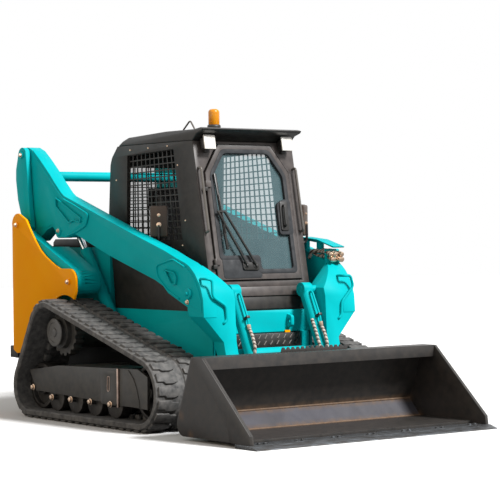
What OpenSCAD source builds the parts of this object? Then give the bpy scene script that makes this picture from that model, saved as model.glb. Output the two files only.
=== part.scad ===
// Compact track loader with a vertical-lift arm and a general purpose bucket.
// Millimetres. +X is the front, +Y the left side, +Z up; the ground is z = 0.

/* [Whole machine] */
// Distance from the sprocket side datum to the middle of the overall length
x_mid = 135; // [100:1:170]
// Half width of the hull and the cab
hull_hw = 410; // [380:1:415]
// Height of the deck on which the cab stands
deck_z = 757; // [720:1:790]
// Thickness of hull plates
hull_t = 20; // [12:1:25]

/* [Tracks] */
// Width of each rubber track
track_w = 400; // [320:1:420]
// Gap between the hull's side and a track's inner edge
track_gap = 115; // [110:1:150]
// Height of the lugs
lug_h = 18; // [12:1:26]
// Thickness of the belt without the lugs
belt_t = 40; // [32:1:46]
// Number of lugs around one track
lug_n = 50; // [40:1:60]
// Outer radius of the loop around the rear idler
rear_r = 218; // [205:1:225]
// Outer radius of the loop around the front idler
front_r = 250; // [240:1:258]
// Outer radius of the loop around the sprocket
drive_r = 230; // [220:1:236]
// Radius of the track rollers
roller_r = 96; // [80:1:104]

/* [Cab] */
// Lean of the cab's front from the vertical
front_lean = 11; // [9:0.5:12]
// Thickness of the cab walls
cab_t = 30; // [20:1:36]
// Height of the joint between cab and roof
roof_z = 1880; // [1870:1:1890]
// Height of the header between the door and the roof
door_head = 28; // [22:1:60]
// Width of each post beside the door opening
door_post = 60; // [58:1:80]
// Gap round the door
door_gap = 6; // [5:0.5:8]
// Thickness of the door frame
door_t = 40; // [32:1:44]
// Width of the door frame's rim
door_rim = 42; // [36:1:60]

/* [Lift arms] */
// Gap between the hull's side and a lift arm
arm_gap = 110; // [106:1:116]
// Width of each lift arm
arm_w = 100; // [90:1:102]
// How far the knee boxes reach inwards from the hull's side
knee_inset = 40; // [34:1:42]
// Radius of the lift pins
pin_r = 30; // [24:1:32]
// Radial clearance at every pin
pin_play = 0.3; // [0.2:0.05:0.5]

/* [Cylinders] */
// Radius of the lift cylinder barrels
lift_r = 42; // [34:1:44]
// Radius of the lift cylinder rods
lift_rod_r = 25; // [18:1:27]
// Radius of the tilt cylinder barrels
tilt_r = 41; // [34:1:43]
// Radius of the tilt cylinder rods
tilt_rod_r = 22; // [16:1:24]

/* [Bucket] */
// Half width of the bucket
bucket_hw = 940; // [900:1:950]
// Thickness of the bucket's plates
bucket_t = 16; // [10:1:20]
// Reach of the cutting edge ahead of the datum
reach = 1800; // [1740:1:1850]
// Half width of the bolt-on cutting edge
edge_hw = 958; // [940:1:975]
// Thickness of the cutting edge
edge_t = 25; // [20:1:25]

/* [Hidden] */
$fn = 64;
hull_in = hull_hw - hull_t;
arm_in = hull_hw + arm_gap;
track_in = hull_hw + track_gap;
knee_in = hull_hw - knee_inset;
leg_in = knee_in + 5;
door_hw = hull_hw - door_post;
arm_out = arm_in + arm_w;
track_out = track_in + track_w;
// distance from the bucket's pin to the tilt rod's eye
tilt_lever = 110;
// pivots of the lift linkage, all in the X-Z plane
pA = [-1352, 1346];
pB = [-641, 945];
pC = [-1425, 1851];
pD = [-1300, 1280];
pL = [-988, 1299];
pF = [-450, 580];
pP = [890, 200];
pT = [660, 890];
pE = pP + tilt_lever * [cos(60), sin(60)];
// layers of the linkage from the middle plane
// room between bolted faces
seat_gap = 0.3;
lift_y = hull_hw + 56;
tilt_y = leg_in - 80;
link_in = arm_out + 10;
link_out = link_in + 35;
ctrl_in = link_out + 7;
ctrl_out = ctrl_in + 56;
plate_in = ctrl_out + 7;
plate_out = plate_in + 15;
hinge_r = pin_r + pin_play;
base_pin_r = 26;
tie_eye_at = [-1475, 335];
tie_eye_y = plate_in - 175;
// front plane of the cab
front_x0 = 560;
front_z0 = 940;
// hinges of the tailgate and the cab door
gate_axis = [-1474, plate_in - 138];
gate_hinge_z = [560, 1050];
gate_hw = gate_axis[1] - 17;
grille_hw = gate_hw - 160;
door_axis = [20, -door_hw - 2];
roof_rise = 75;
roof_top = roof_z + roof_rise;
door_face = 15;
door_top = (roof_z - front_z0) / cos(front_lean) - door_head;
door_hinge_z = [120, door_top - 290];
// loop of the track
loop = [[-930, rear_r, rear_r], [470, front_r, front_r], [-700, 598, drive_r]];
belt = lug_h + belt_t;

function front_x(z) = front_x0 - (z - front_z0) * tan(front_lean);
function lerp(a, b, t) = a + (b - a) * t;
function circ(c, r, a0, a1, n = 10) =
  [for (i = [0:n]) [c[0] + r * cos(a0 + (a1 - a0) * i / n), c[1] + r * sin(a0 + (a1 - a0) * i / n)]];
function unit(v) = v / norm(v);
// corner b of a b c rounded by radius r
function fillet(a, b, c, r, n = 5) =
  let (u = unit(a - b), v = unit(c - b), h = acos(max(-1, min(1, u * v))) / 2, d = r / tan(h),
    m = b + unit(u + v) * r / sin(h), s = b + u * d, e = b + v * d,
    a0 = atan2(s[1] - m[1], s[0] - m[0]), a1 = atan2(e[1] - m[1], e[0] - m[0]),
    da = a1 - a0 > 180 ? a1 - a0 - 360 : (a1 - a0 < -180 ? a1 - a0 + 360 : a1 - a0))
  circ(m, r, a0, a0 + da, n);
// outline from points [x, y, corner radius]
function rounded(p) = [for (i = [0:len(p) - 1])
  let (q = p[i], a = p[(i + len(p) - 1) % len(p)], c = p[(i + 1) % len(p)])
  each (q[2] > 0 ? fillet([a[0], a[1]], [q[0], q[1]], [c[0], c[1]], q[2]) : [[q[0], q[1]]])];
// outline round two circles
function capsule(a, ra, b, rb, n = 12) =
  let (d = b - a, t = atan2(d[1], d[0]), k = acos((ra - rb) / norm(d)))
  concat(circ(a, ra, t + k, t + 360 - k, n), circ(b, rb, t - k, t + k, n));

// angle of the outer normal on the straight from loop wheel i to the next
function run_n(c, i) = let (p = c[i], q = c[(i + 1) % 3], d = [q[0] - p[0], q[1] - p[1]])
  atan2(d[1], d[0]) - acos((p[2] - q[2]) / norm(d));
function wrap(a) = a < 0 ? wrap(a + 360) : (a >= 360 ? wrap(a - 360) : a);
function arc_span(c, i) = wrap(run_n(c, i) - run_n(c, (i + 2) % 3));
function run_len(c, i) = let (p = c[i], q = c[(i + 1) % 3])
  sqrt(pow(q[0] - p[0], 2) + pow(q[1] - p[1], 2) - pow(p[2] - q[2], 2));
function arc_len(c, i) = c[i][2] * arc_span(c, i) * PI / 180;
function loop_len(c) = arc_len(c, 0) + run_len(c, 0) + arc_len(c, 1) + run_len(c, 1) + arc_len(c, 2)
  + run_len(c, 2);
// point of the loop at length s, moved inwards by d
function on_loop(c, s, d, i = 0) =
  s <= arc_len(c, i) ?
    let (a = run_n(c, (i + 2) % 3) + s / arc_len(c, i) * arc_span(c, i))
    [c[i][0] + (c[i][2] - d) * cos(a), c[i][1] + (c[i][2] - d) * sin(a)] :
  s <= arc_len(c, i) + run_len(c, i) ?
    let (a = run_n(c, i), t = (s - arc_len(c, i)) / run_len(c, i), q = c[(i + 1) % 3])
    [lerp(c[i][0] + (c[i][2] - d) * cos(a), q[0] + (q[2] - d) * cos(a), t),
     lerp(c[i][1] + (c[i][2] - d) * sin(a), q[1] + (q[2] - d) * sin(a), t)] :
  on_loop(c, s - arc_len(c, i) - run_len(c, i), d, (i + 1) % 3);
// inner face of the belt: wheels' arcs joined by straights
function inner_loop(c, d, n = 14) = [for (i = [0:2])
  let (a0 = run_n(c, (i + 2) % 3), w = arc_span(c, i))
  each circ([c[i][0], c[i][1]], c[i][2] - d, a0, a0 + w, n)];

module put() { translate([-x_mid, 0, 0]) children(); }
module both() { children(); mirror([0, 1, 0]) children(); }
// X-Z outline drawn out between two distances from the middle plane
module slab(p, y0, y1) { translate([0, y1, 0]) rotate([90, 0, 0]) linear_extrude(y1 - y0) polygon(p); }
module rod_y(c, r, y0, y1) { translate([c[0], y1, c[1]]) rotate([90, 0, 0]) cylinder(r = r, h = y1 - y0); }
// Y-Z outline drawn out between two x
module slice(p, x0, x1) {
  translate([x0, 0, 0]) rotate([90, 0, 90]) linear_extrude(x1 - x0) polygon(p);
}
module box(x0, x1, y0, y1, z0, z1) { translate([x0, y0, z0]) cube([x1 - x0, y1 - y0, z1 - z0]); }
// places children in the cab's leaning front plane: x out of it, z up along it
module on_front() { translate([front_x0, 0, front_z0]) rotate([0, -front_lean, 0]) children(); }
// Y-Z outline in the front plane
module pane(p, x0, x1) { on_front() slice(p, x0, x1); }

// Hull

hull_side = [[-1430, 330], [-1330, 280], [500, 280], [590, 400], [590, 700], [560, deck_z],
  [-650, deck_z], [-650, 1180], [-1430, 1180]];

module main_frame() {
  color("DarkTurquoise") put() {
    both() slab(hull_side, hull_in, hull_hw);
    box(-1330, 500, -hull_in - 1, hull_in + 1, 280, 300);
    box(-670, -650, -hull_in - 1, hull_in + 1, 290, 1180);
    box(500, 590, -hull_in - 1, hull_in + 1, 400, 420);
    both() lift_base();
  }
}

module lift_base() {
  for (y = [[hull_hw - 1, hull_hw + 10], [lift_y + 46, lift_y + 58]])
    slab(rounded([[-520, 480, 0], [-380, 480, 0], [-390, 620, 40], [-510, 620, 40]]), y[0], y[1]);
  box(-520, -380, hull_hw - 1, lift_y + 58, 462, 482);
  rod_y(pF, base_pin_r, hull_hw, lift_y + 47);
}

module tie_eye() {
  difference() {
    slab(rounded([[-1510, 386, 0], [-1502, 300, 24], [-1448, 300, 24], [-1440, 386, 0]]),
      tie_eye_y, tie_eye_y + 25);
    rod_y(tie_eye_at, 20, tie_eye_y - 10, tie_eye_y + 40);
  }
}

module front_panel() {
  color("DarkTurquoise") put() {
    box(590, 612, -hull_in, hull_in, 612, deck_z);
    both() box(590, 628, hull_in - 98, hull_in - 38, 420, 612);
    // loop for tying the machine down
    difference() {
      slab(rounded([[612, 640, 0], [660, 650, 20], [660, 720, 20], [612, 730, 0]]), 180, 205);
      rod_y([632, 685], 16, 170, 215);
    }
  }
}

module step_plate() {
  color("DimGray") put()
    slab([[590, 420], [625, 430], [650, 520], [634, 606], [590, 612]], 140 - hull_hw, hull_hw - 140);
}

// Rear

function plate_low() = let (g = 26)
  concat(circ([-700, 598], drive_r + g, 62, 140, 8), [[-1082, 455], [-1381, 422], [-1430, 446]]);
plate_side = concat([[-1430, 1340]], circ(pA, 82, 175, 55, 8),
  [[-1234, 1384], [-1172, 1308], [-1103, 1231], [-1034, 1166], [-965, 1122], [-896, 1089], [-828, 1058],
   [-760, 1036]],
  circ(pB, 92, 80, -8, 6), [[-549, 880]], plate_low());

module rear_plates() {
  color("Orange") put() both() {
    slab(plate_side, plate_in, plate_out);
    rod_y(pA, pin_r + 7, link_out + 3, plate_in + 1);
    rod_y(pA, pin_r, link_in - 4, plate_in + 2);
    rod_y(pB, pin_r, arm_in + 28, plate_in + 2);
    for (p = [pA, pB]) rod_y(p, 20, plate_out - 1, plate_out + 14);
  }
}

module rear_frame() {
  color("#2b2b2b") put() {
    both() box(-1431, -1395, hull_hw, plate_in, 385, 1190);
    box(-1530, -1430, 15 - plate_in, plate_in - 15, 385, 470);
    both() tie_eye();
    for (z = gate_hinge_z) {
      box(gate_axis[0] - 12, -1425, gate_axis[1] - 12, gate_axis[1] + 12, z - 26, z);
      translate([gate_axis[0], gate_axis[1], z - 20]) cylinder(r = 8, h = 62);
    }
  }
}

module engine_cover() {
  color("#2b2b2b") put() difference() {
    slab([[-1430, 1180], [-650, 1180], [-650, 1210], [-680, 1240], [-1400, 1240], [-1430, 1215]],
      -hull_hw, hull_hw);
    for (i = [0:7]) box(-1330 + i * 70, -1300 + i * 70, -300, 300, 1190, 1250);
  }
}

module engine_block() {
  color("#555555") put() box(-1330, -800, -290, 290, 300, 1020);
}

module exhaust() {
  color("#444444") put() translate([-720, 130 - hull_hw, 1240]) difference() {
    cylinder(r = 38, h = 150);
    translate([0, 0, 40]) cylinder(r = 33, h = 120);
  }
}

module tail_lamps() {
  color("FireBrick") put() both() box(-1449, -1431, plate_in - 125, plate_in - 35, 1020, 1120);
}

module tailgate() {
  color("#2f2f2f") put() {
    difference() {
      box(-1472, -1436, -gate_hw, gate_hw, 478, 1180);
      box(-1480, -1430, -grille_hw, grille_hw, 620, 1100);
    }
    for (z = gate_hinge_z) difference() {
      union() {
        translate([gate_axis[0], gate_axis[1], z + pin_play]) cylinder(r = 14, h = 46);
        box(gate_axis[0] - 13, -1460, gate_hw - 1, gate_axis[1], z + pin_play, z + pin_play + 46);
      }
      translate([gate_axis[0], gate_axis[1], z - 10]) cylinder(r = 8 + pin_play, h = 80);
    }
  }
}

module tailgate_grille() {
  color("#1d1d1d") put() difference() {
    box(-1468, -1444, -grille_hw, grille_hw, 620, 1100);
    for (i = [0:10]) box(-1480, -1430, 25 - grille_hw, grille_hw - 25, 640 + i * 41, 668 + i * 41);
  }
}

// Undercarriage

module track() {
  n = lug_n;
  len_all = loop_len(loop);
  p = len_all / n;
  outer = [for (i = [0:n - 1]) each [on_loop(loop, (i + 0.04) * p, lug_h), on_loop(loop, (i + 0.12) * p, 0),
    on_loop(loop, (i + 0.66) * p, 0), on_loop(loop, (i + 0.74) * p, lug_h)]];
  translate([0, track_out, 0]) rotate([90, 0, 0]) linear_extrude(track_w) difference() {
    polygon(outer);
    polygon(inner_loop(loop, belt));
  }
}
module track_right() { color("#3a3a3a") put() mirror([0, 1, 0]) track(); }
module track_left() { color("#3a3a3a") put() track(); }

frame_side = [[-1003, 327], [-607, 375], [389, 399], [504, 355], [500, 146], [-700, 184], [-909, 187]];
module track_frames() {
  color("#3c3c3c") put() both() {
    difference() {
      union() {
        slab(frame_side, track_in + 315, track_in + 337);
        slab(frame_side, track_in + 59, track_in + 81);
        slab([[-607, 375], [240, 395], [240, 340], [-607, 320]], track_in + 60, track_in + 336);
        for (x = [-520, 120]) box(x, x + 120, hull_hw, track_in + 75, 300, 380);
      }
      for (x = roller_x) rod_y([x, roller_r + belt], 18, track_in - 25, track_in + 375);
    }
  }
}
roller_x = [-685, -435, -185, 65];

module roller_disc(y0, y1) {
  translate([0, y1, 0]) rotate([90, 0, 0]) linear_extrude(y1 - y0)
    polygon([for (i = [0:23]) roller_r / cos(7.5) * [cos(7.5 + i * 15), sin(7.5 + i * 15)]]);
}
module rollers() {
  color("#4a4a4a") put() both() for (x = roller_x) translate([x, 0, roller_r + belt]) {
    roller_disc(track_in + 89, track_in + 165);
    roller_disc(track_in + 231, track_in + 307);
    rod_y([0, 0], 60, track_in + 164, track_in + 232);
    rod_y([0, 0], 18, track_in + 59, track_in + 347);
  }
}

module idlers() {
  color("#4a4a4a") put() both() for (w = [loop[0], loop[1]]) {
    difference() {
      rod_y([w[0], w[1]], w[2] - belt - 4, track_in + 115, track_in + 281);
      for (y = [[track_in + 114, track_in + 151], [track_in + 245, track_in + 282]]) difference() {
        rod_y([w[0], w[1]], w[2] - belt - 30, y[0], y[1]);
        rod_y([w[0], w[1]], 62, y[0] - 1, y[1] + 1);
      }
    }
    for (y = [[track_in + 81, track_in + 116], [track_in + 280, track_in + 315]])
      rod_y([w[0], w[1]], 45, y[0], y[1]);
  }
}

module sprockets() {
  c = [loop[2][0], loop[2][1]];
  color("#3f3f3f") put() both() {
    rod_y(c, 118, hull_hw, track_in + 175);
    translate([c[0], track_in + 235, c[1]]) rotate([90, 0, 0]) linear_extrude(70)
      polygon([for (i = [0:16]) each [for (k = [[-7, 150], [-4, 166], [4, 166], [7, 150]])
        k[1] * [cos(i * 360 / 17 + k[0]), sin(i * 360 / 17 + k[0])]]]);
    rod_y(c, 112, track_in + 234, track_in + 275);
    rod_y(c, 88, track_in + 274, track_in + 305);
  }
}

// Cab

cab_out = [[-578, deck_z], [-622, 1112], [-656, 1407], [-629, roof_z - 124], [-608, roof_z - 76],
  [-535, roof_z], [front_x(roof_z), roof_z], [front_x(deck_z), deck_z]];
cab_in = [[-548, deck_z + cab_t], [-592, 1112], [-626, 1407], [-599, roof_z - 124], [-580, roof_z - 88],
  [-500, roof_z + 5], [front_x(roof_z) - cab_t, roof_z + 5], [front_x(deck_z) - cab_t, deck_z + cab_t]];
win_low = 1225;
win_back = 68;
win_front = 46;
win = [[-430, win_low], [256, win_low], [front_x(roof_z) - 220, roof_z - win_front],
  [-410, roof_z - win_back]];
rear_win = [[-300, 1250], [300, 1250], [300, roof_z - 140], [-300, roof_z - 140]];
function door_line(hw, low, top) = [[-hw, low], [hw, low], [hw, top - 190], [hw - 130, top], [130 - hw, top],
  [-hw, top - 190]];

module cab_shell() {
  color("#2a2826") put() difference() {
    slab(cab_out, -hull_hw, hull_hw);
    slab(cab_in, cab_t - hull_hw, hull_hw - cab_t);
    slab(win, -hull_hw - 5, hull_hw + 5);
    pane(door_line(door_hw, 15, door_top + door_gap), -60, 60);
    slice(rear_win, -700, -560);
  }
  color("#2a2826") put() on_front() for (z = door_hinge_z) {
    box(0, 30, door_axis[1] - 26, door_axis[1] + 3, z - 26, z);
    translate([door_axis[0], door_axis[1], z - 20]) cylinder(r = 7, h = 58);
  }
}

module cab_roof() {
  x = front_x(roof_z);
  visor_z = roof_top + 9;
  color("#1f1f1f") put() slab([[-535, roof_z], [-470, lerp(roof_z, roof_top, 0.45)], [-399, roof_top - 20],
    [60, roof_top], [x + 17, roof_top], [x + 90, visor_z], [x + 128, visor_z - 9], [x + 106, visor_z - 27],
    [x + 48, visor_z - 44], [x, roof_z]], -hull_hw, hull_hw);
}

function in_win(u, v) = [lerp(lerp(win[0][0], win[3][0], v), lerp(win[1][0], win[2][0], v), u),
  lerp(lerp(win[0][1], win[3][1], v), lerp(win[1][1], win[2][1], v), u)];
module side_mesh() {
  nu = 11;
  nv = 14;
  b = 0.09;
  y = hull_hw - 20;
  color("#1c1c1c") put() both() difference() {
    slab(win, y, y + 6);
    for (i = [0:nu - 1], j = [0:nv - 1])
      slab([in_win((i + b) / nu, (j + b) / nv), in_win((i + 1 - b) / nu, (j + b) / nv),
        in_win((i + 1 - b) / nu, (j + 1 - b) / nv), in_win((i + b) / nu, (j + 1 - b) / nv)], y - 5, y + 10);
  }
}

module rear_window() {
  color("LightSteelBlue", 0.5) put() slice(rear_win, -632, -626);
}

seat_top = roof_z - 280;
seat_hw = hull_hw - 180;
module seat() {
  color("#222222") put() {
    box(-330, 20, 70 - seat_hw, seat_hw - 70, deck_z + cab_t, 960);
    slab(rounded([[-380, 960, 20], [90, 960, 30], [90, 1060, 45], [-300, 1060, 40], [-380, seat_top, 50],
      [-480, seat_top, 50], [-420, 1000, 60]]), -seat_hw, seat_hw);
  }
}

module consoles() {
  color("#303030") put() both() {
    slab(rounded([[-280, deck_z + cab_t, 0], [120, deck_z + cab_t, 0], [160, 1120, 30], [-280, 1180, 40]]),
      hull_hw - 155, hull_hw - 65);
    translate([90, hull_hw - 110, 1110]) {
      cylinder(r = 12, h = 100);
      translate([0, 0, 100]) cylinder(r = 24, h = 110);
    }
  }
}

module work_lamps() {
  low = door_top - 38;
  color("White") put() both() on_front() {
    box(14, 74, door_hw - 78, door_hw + 16, low, low + 72);
    box(0, 15, door_hw - 50, door_hw - 14, low + 8, low + 52);
  }
}

module beacon() {
  color("DarkOrange") put() translate([200, -106, roof_top]) {
    cylinder(r = 36, h = 22);
    translate([0, 0, 21]) cylinder(r = 45, h = 24);
    // lens with a domed top
    translate([0, 0, 44]) rotate_extrude()
      polygon(concat([[0, 0], [38, 0]], circ([14, 84], 24, 0, 90, 6), [[0, 108]]));
  }
}

module mirrors() {
  // the right one stands further back than the left one
  color("#1e1e1e") put() for (m = [[-1, 60], [1, 370]]) scale([1, m[0], 1]) translate([m[1], 0, 0]) {
    box(-14, 14, hull_hw + 30, hull_hw + 98, 1245, 1460);
    rod_y([0, 1200], 9, hull_hw, hull_hw + 64);
    translate([0, hull_hw + 64, 1191]) cylinder(r = 9, h = 55);
  }
}

rail_len = 455;
rail_low = door_top - 145 - rail_len;
rail_y = hull_hw - 20;
module grab_rails() {
  color("#262626") put() both() on_front() {
    translate([38, rail_y, rail_low]) cylinder(r = 9, h = rail_len);
    for (z = [rail_low + 12, rail_low + rail_len - 12])
      translate([0, rail_y, z]) rotate([0, 90, 0]) cylinder(r = 9, h = 38);
  }
}

module door_frame() {
  w = door_hw - door_gap;
  color("#6d6866") put() {
    difference() {
      pane(door_line(w, 15 + door_gap, door_top), door_face - door_t, door_face);
      pane(glass_line(), -60, 60);
    }
    on_front() for (z = door_hinge_z) difference() {
      union() {
        translate([door_axis[0], door_axis[1], z + pin_play]) cylinder(r = 11, h = 42);
        box(door_face - 1, door_axis[0] + 8, door_axis[1], door_axis[1] + 34,
          z + pin_play, z + pin_play + 42);
      }
      translate([door_axis[0], door_axis[1], z - 10]) cylinder(r = 7 + pin_play, h = 70);
    }
  }
}
function glass_line() = let (w = door_hw - door_gap - door_rim, h = door_top - 40)
  [[-w, 165], [0, 165], [0, 70], [w, 70], [w, h - 165], [w - 112, h], [112 - w, h], [-w, h - 165]];

module door_glass() {
  color("SlateGray", 0.4) put() pane(glass_line(), -6, 0);
}

// strip of width w between two points of the front plane, heights as shares of the door's
function strip(a, b, w) = let (p = [a[0], a[1] * door_top], q = [b[0], b[1] * door_top],
    n = unit([p[1] - q[1], q[0] - p[0]]))
  [p - n * w / 2, q - n * w / 2, q + n * w / 2, p + n * w / 2];
module wiper() {
  color("#151515") put() {
    pane(strip([-140, 0.12], [-10, 0.114], 52), door_face, door_face + 14);
    pane(strip([-36, 0.116], [-250, 0.506], 11), door_face + 12, door_face + 22);
    pane(strip([-112, 0.12], [-300, 0.51], 11), door_face + 12, door_face + 22);
    pane(strip([-236, 0.505], [-308, 0.51], 14), door_face + 8, door_face + 22);
    pane(strip([-284, 0.785], [-252, 0.236], 10), door_face + 8, door_face + 22);
  }
}

// Lift arm

arm_side = concat(circ(pC, 58, 215, 60, 8),
  [[-1340, 1880], [-1244, 1811], [-1105, 1699], [-1050, 1648], [-995, 1603], [-955, 1570], [-914, 1545],
   [-765, 1499], [-436, 1397], [-59, 1281], [359, 1158], [486, 1113], [589, 1081], [632, 1062], [667, 1037],
   [698, 1010], [722, 980], [748, 945], [765, 911], [786, 848], [795, 734], [640, 787], [527, 830],
   [389, 885], [332, 930], [238, 967], [58, 1018], [-314, 1123], [-770, 1276], [-893, 1250]],
  circ(pL, 52, -60, -180, 6), [[-1075, 1330], [-1150, 1310]], circ(pD, 52, -60, -150, 6), [[-1440, 1560]]);
// knee box and leg, side view
knee_side = concat([[612, 1050], [632, 1062], [667, 1037], [698, 1010], [722, 980], [748, 945], [765, 911],
  [786, 848], [800, 573], [838, 420]], circ(pP, 55, 20, -160, 10),
  [[760, 400], [690, 560], [640, 700], [612, 780]]);
// knee box and leg, front view
knee_front = [[knee_in, 420], [leg_in, 380], [leg_in, 100], [leg_in + 90, 100], [leg_in + 96, 573],
  [arm_out, 739], [arm_out, 1000], [arm_in, 1070], [knee_in, 900]];

// plates welded on the arms' outer faces, with their openings
patch_t = 5;
rear_patch = concat([[-1330, 1850], [-1244, 1785], [-1105, 1674], [-995, 1580], [-914, 1522], [-765, 1476]],
  fillet([-765, 1476], [-580, 1410], [-612, 1335], 40),
  [[-612, 1335], [-752, 1288], [-880, 1262], [-940, 1300],
  [-1060, 1345], [-1160, 1325], [-1265, 1330], [-1400, 1560], [-1395, 1760]]);
rear_slot = rounded([[-1012, 1540, 12], [-665, 1388, 12], [-680, 1350, 12], [-767, 1369, 10],
  [-830, 1350, 10],
  [-952, 1433, 15], [-1012, 1470, 15]]);
knee_patch = concat([[454, 1105]], fillet([454, 1105], [262, 1062], [281, 985], 30), [[281, 985], [400, 900],
  [527, 850], [774, 768], [766, 840], [742, 905], [700, 970], [650, 1020], [589, 1056]]);
knee_slot = rounded([[362, 1040, 8], [480, 1022, 12], [510, 990, 20], [500, 940, 14], [445, 938, 8]]);
module patch(p, hole) {
  difference() {
    slab(p, arm_out - 1, arm_out + patch_t);
    slab(hole, arm_out - 5, arm_out + 20);
  }
}

module lift_arms() {
  color("DarkTurquoise") put() both() difference() {
    union() {
      slab(arm_side, arm_in, arm_out);
      intersection() {
        slab(knee_side, knee_in - 10, arm_out + 10);
        slice(knee_front, 600, 980);
      }
      patch(rear_patch, rear_slot);
      patch(knee_patch, knee_slot);
      rod_y(pL, 34, arm_out - 1, arm_out + 9);
      rod_y([640, 885], 34, arm_out - 1, arm_out + 22);
      rod_y(pT, 26, tilt_y - 40, knee_in + 30);
    }
    rod_y(pC, hinge_r, arm_in - 10, arm_out + 10);
    rod_y(pP, 25 + pin_play, leg_in - 75, leg_in + 145);
  }
}

module arm_cross_tube() {
  color("DarkTurquoise") put() rod_y([-1150, 1690], 35, -arm_in, arm_in);
}

module knee_cross_member() {
  color("DarkTurquoise") put() rod_y([748, 478], 44, -knee_in, knee_in);
}

module hose_cover() {
  color("DarkTurquoise") put() {
    difference() {
      slab([[339, 1165], [380, 1152], [500, 1110], [540, 1098], [540, 1205], [690, 1164], [699, 1172],
        [516, 1222], [339, 1239]],
        arm_in + 10, arm_in + 40);
      slab([[385, 1100], [495, 1080], [495, 1200], [385, 1214]], arm_in, arm_in + 50);
    }
    slab([[339, 1231], [516, 1214], [690, 1164], [699, 1172], [516, 1222], [339, 1239]],
      arm_in - 6, arm_in + 90);
  }
}

module rear_links() {
  color("DarkTurquoise") put() both() {
    difference() {
      slab(concat(circ(pC, 56, 30, 160, 8), [[-1516, 1748], [-1518, 1675], [-1492, 1529], [-1440, 1400]],
        circ(pA, 50, 200, 340, 8), [[-1330, 1500], [-1346, 1620], [-1355, 1728]]), link_in, link_out);
      rod_y(pA, hinge_r, link_in - 5, link_out + 5);
    }
    rod_y(pC, pin_r, arm_in - 12, link_in + 1);
    rod_y(pC, 22, link_out - 1, link_out + 12);
  }
}

module control_links() {
  u = unit(pD - pB);
  color("DarkTurquoise") put() both() difference() {
    union() {
      slab(capsule(pB, 88, pD, 40), ctrl_in, ctrl_out);
      slab(concat(circ(pB, 88, atan2(u[1], u[0]) + 87, atan2(u[1], u[0]) + 273, 12),
        [pB + u * 400 + 68 * [u[1], -u[0]], pB + u * 400 - 68 * [u[1], -u[0]]]), arm_in + 30, ctrl_in + 1);
      rod_y(pD, 20, arm_out + patch_t + 5, ctrl_in + 1);
    }
    rod_y(pB, hinge_r, arm_in + 20, ctrl_out + 5);
  }
}

// Cylinders, drawn at rest: from the base pin along the line to the eye

module along(a, b, y) {
  d = b - a;
  translate([a[0], y, a[1]]) rotate([0, 90 - atan2(d[1], d[0]), 0]) children();
}
lift_len = norm(pL - pF);
tilt_len = norm(pE - pT);

module lift_barrels() {
  color("DarkTurquoise") put() both() difference() {
    union() {
      along(pF, pL, lift_y) cylinder(r = lift_r, h = 720);
      rod_y(pF, 44, lift_y - 40, lift_y + 40);
    }
    along(pF, pL, lift_y) translate([0, 0, 110]) cylinder(r = lift_rod_r + pin_play, h = 700);
    rod_y(pF, base_pin_r + pin_play, lift_y - 60, lift_y + 60);
  }
}

module lift_rods() {
  color("Silver") put() both() {
    along(pF, pL, lift_y) translate([0, 0, 150]) cylinder(r = lift_rod_r, h = lift_len - 150);
    rod_y(pL, 42, lift_y - 34, lift_y + 34);
    rod_y(pL, 24, lift_y + 33, arm_in - 4);
  }
}

module tilt_barrels() {
  color("DarkTurquoise") put() both() difference() {
    union() {
      along(pT, pE, tilt_y) cylinder(r = tilt_r, h = 470);
      rod_y(pT, 46, tilt_y - 36, tilt_y + 36);
    }
    along(pT, pE, tilt_y) translate([0, 0, 90]) cylinder(r = tilt_rod_r + pin_play, h = 500);
    rod_y(pT, 26 + pin_play, tilt_y - 60, tilt_y + 60);
  }
}

module tilt_rods() {
  color("Silver") put() both() {
    along(pT, pE, tilt_y) translate([0, 0, 150]) cylinder(r = tilt_rod_r, h = tilt_len - 150);
    rod_y(pE, 30, tilt_y - 30, tilt_y + 30);
    rod_y(pE, 18, tilt_y - 33, tilt_y + 33);
  }
}

// Bucket: its back runs up and forward from back_low

bucket_top = 516;
back_low = [951, 91];
back_dir = unit([1111, bucket_top] - back_low);
back_nrm = [-back_dir[1], back_dir[0]];
function on_back(s, n) = back_low + back_dir * s + back_nrm * n;

coupler_hw = leg_in + 185;
module coupler() {
  color("#383838") put() {
    difference() {
      slab([on_back(70, seat_gap), on_back(420, seat_gap), on_back(420, 24), on_back(70, 24)],
        -coupler_hw, coupler_hw);
      both() slab([on_back(110, -5), on_back(350, -5), on_back(350, 40), on_back(110, 40)],
        tilt_y - 41, tilt_y + 41);
    }
    both() {
      for (y = [[leg_in - 40, leg_in - 9], [leg_in + 99, leg_in + 130]])
        slab(concat([on_back(80, 18), on_back(230, 18)], circ(pP, 48, 75, 250, 10)), y[0], y[1]);
      for (y = [[tilt_y - 67, tilt_y - 41], [tilt_y + 41, tilt_y + 70]])
        slab(concat([on_back(140, 18), on_back(330, 18)], circ(pE, 34, 75, 235, 10)), y[0], y[1]);
      rod_y(pP, 25, leg_in - 41, leg_in + 131);
    }
  }
}

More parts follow.
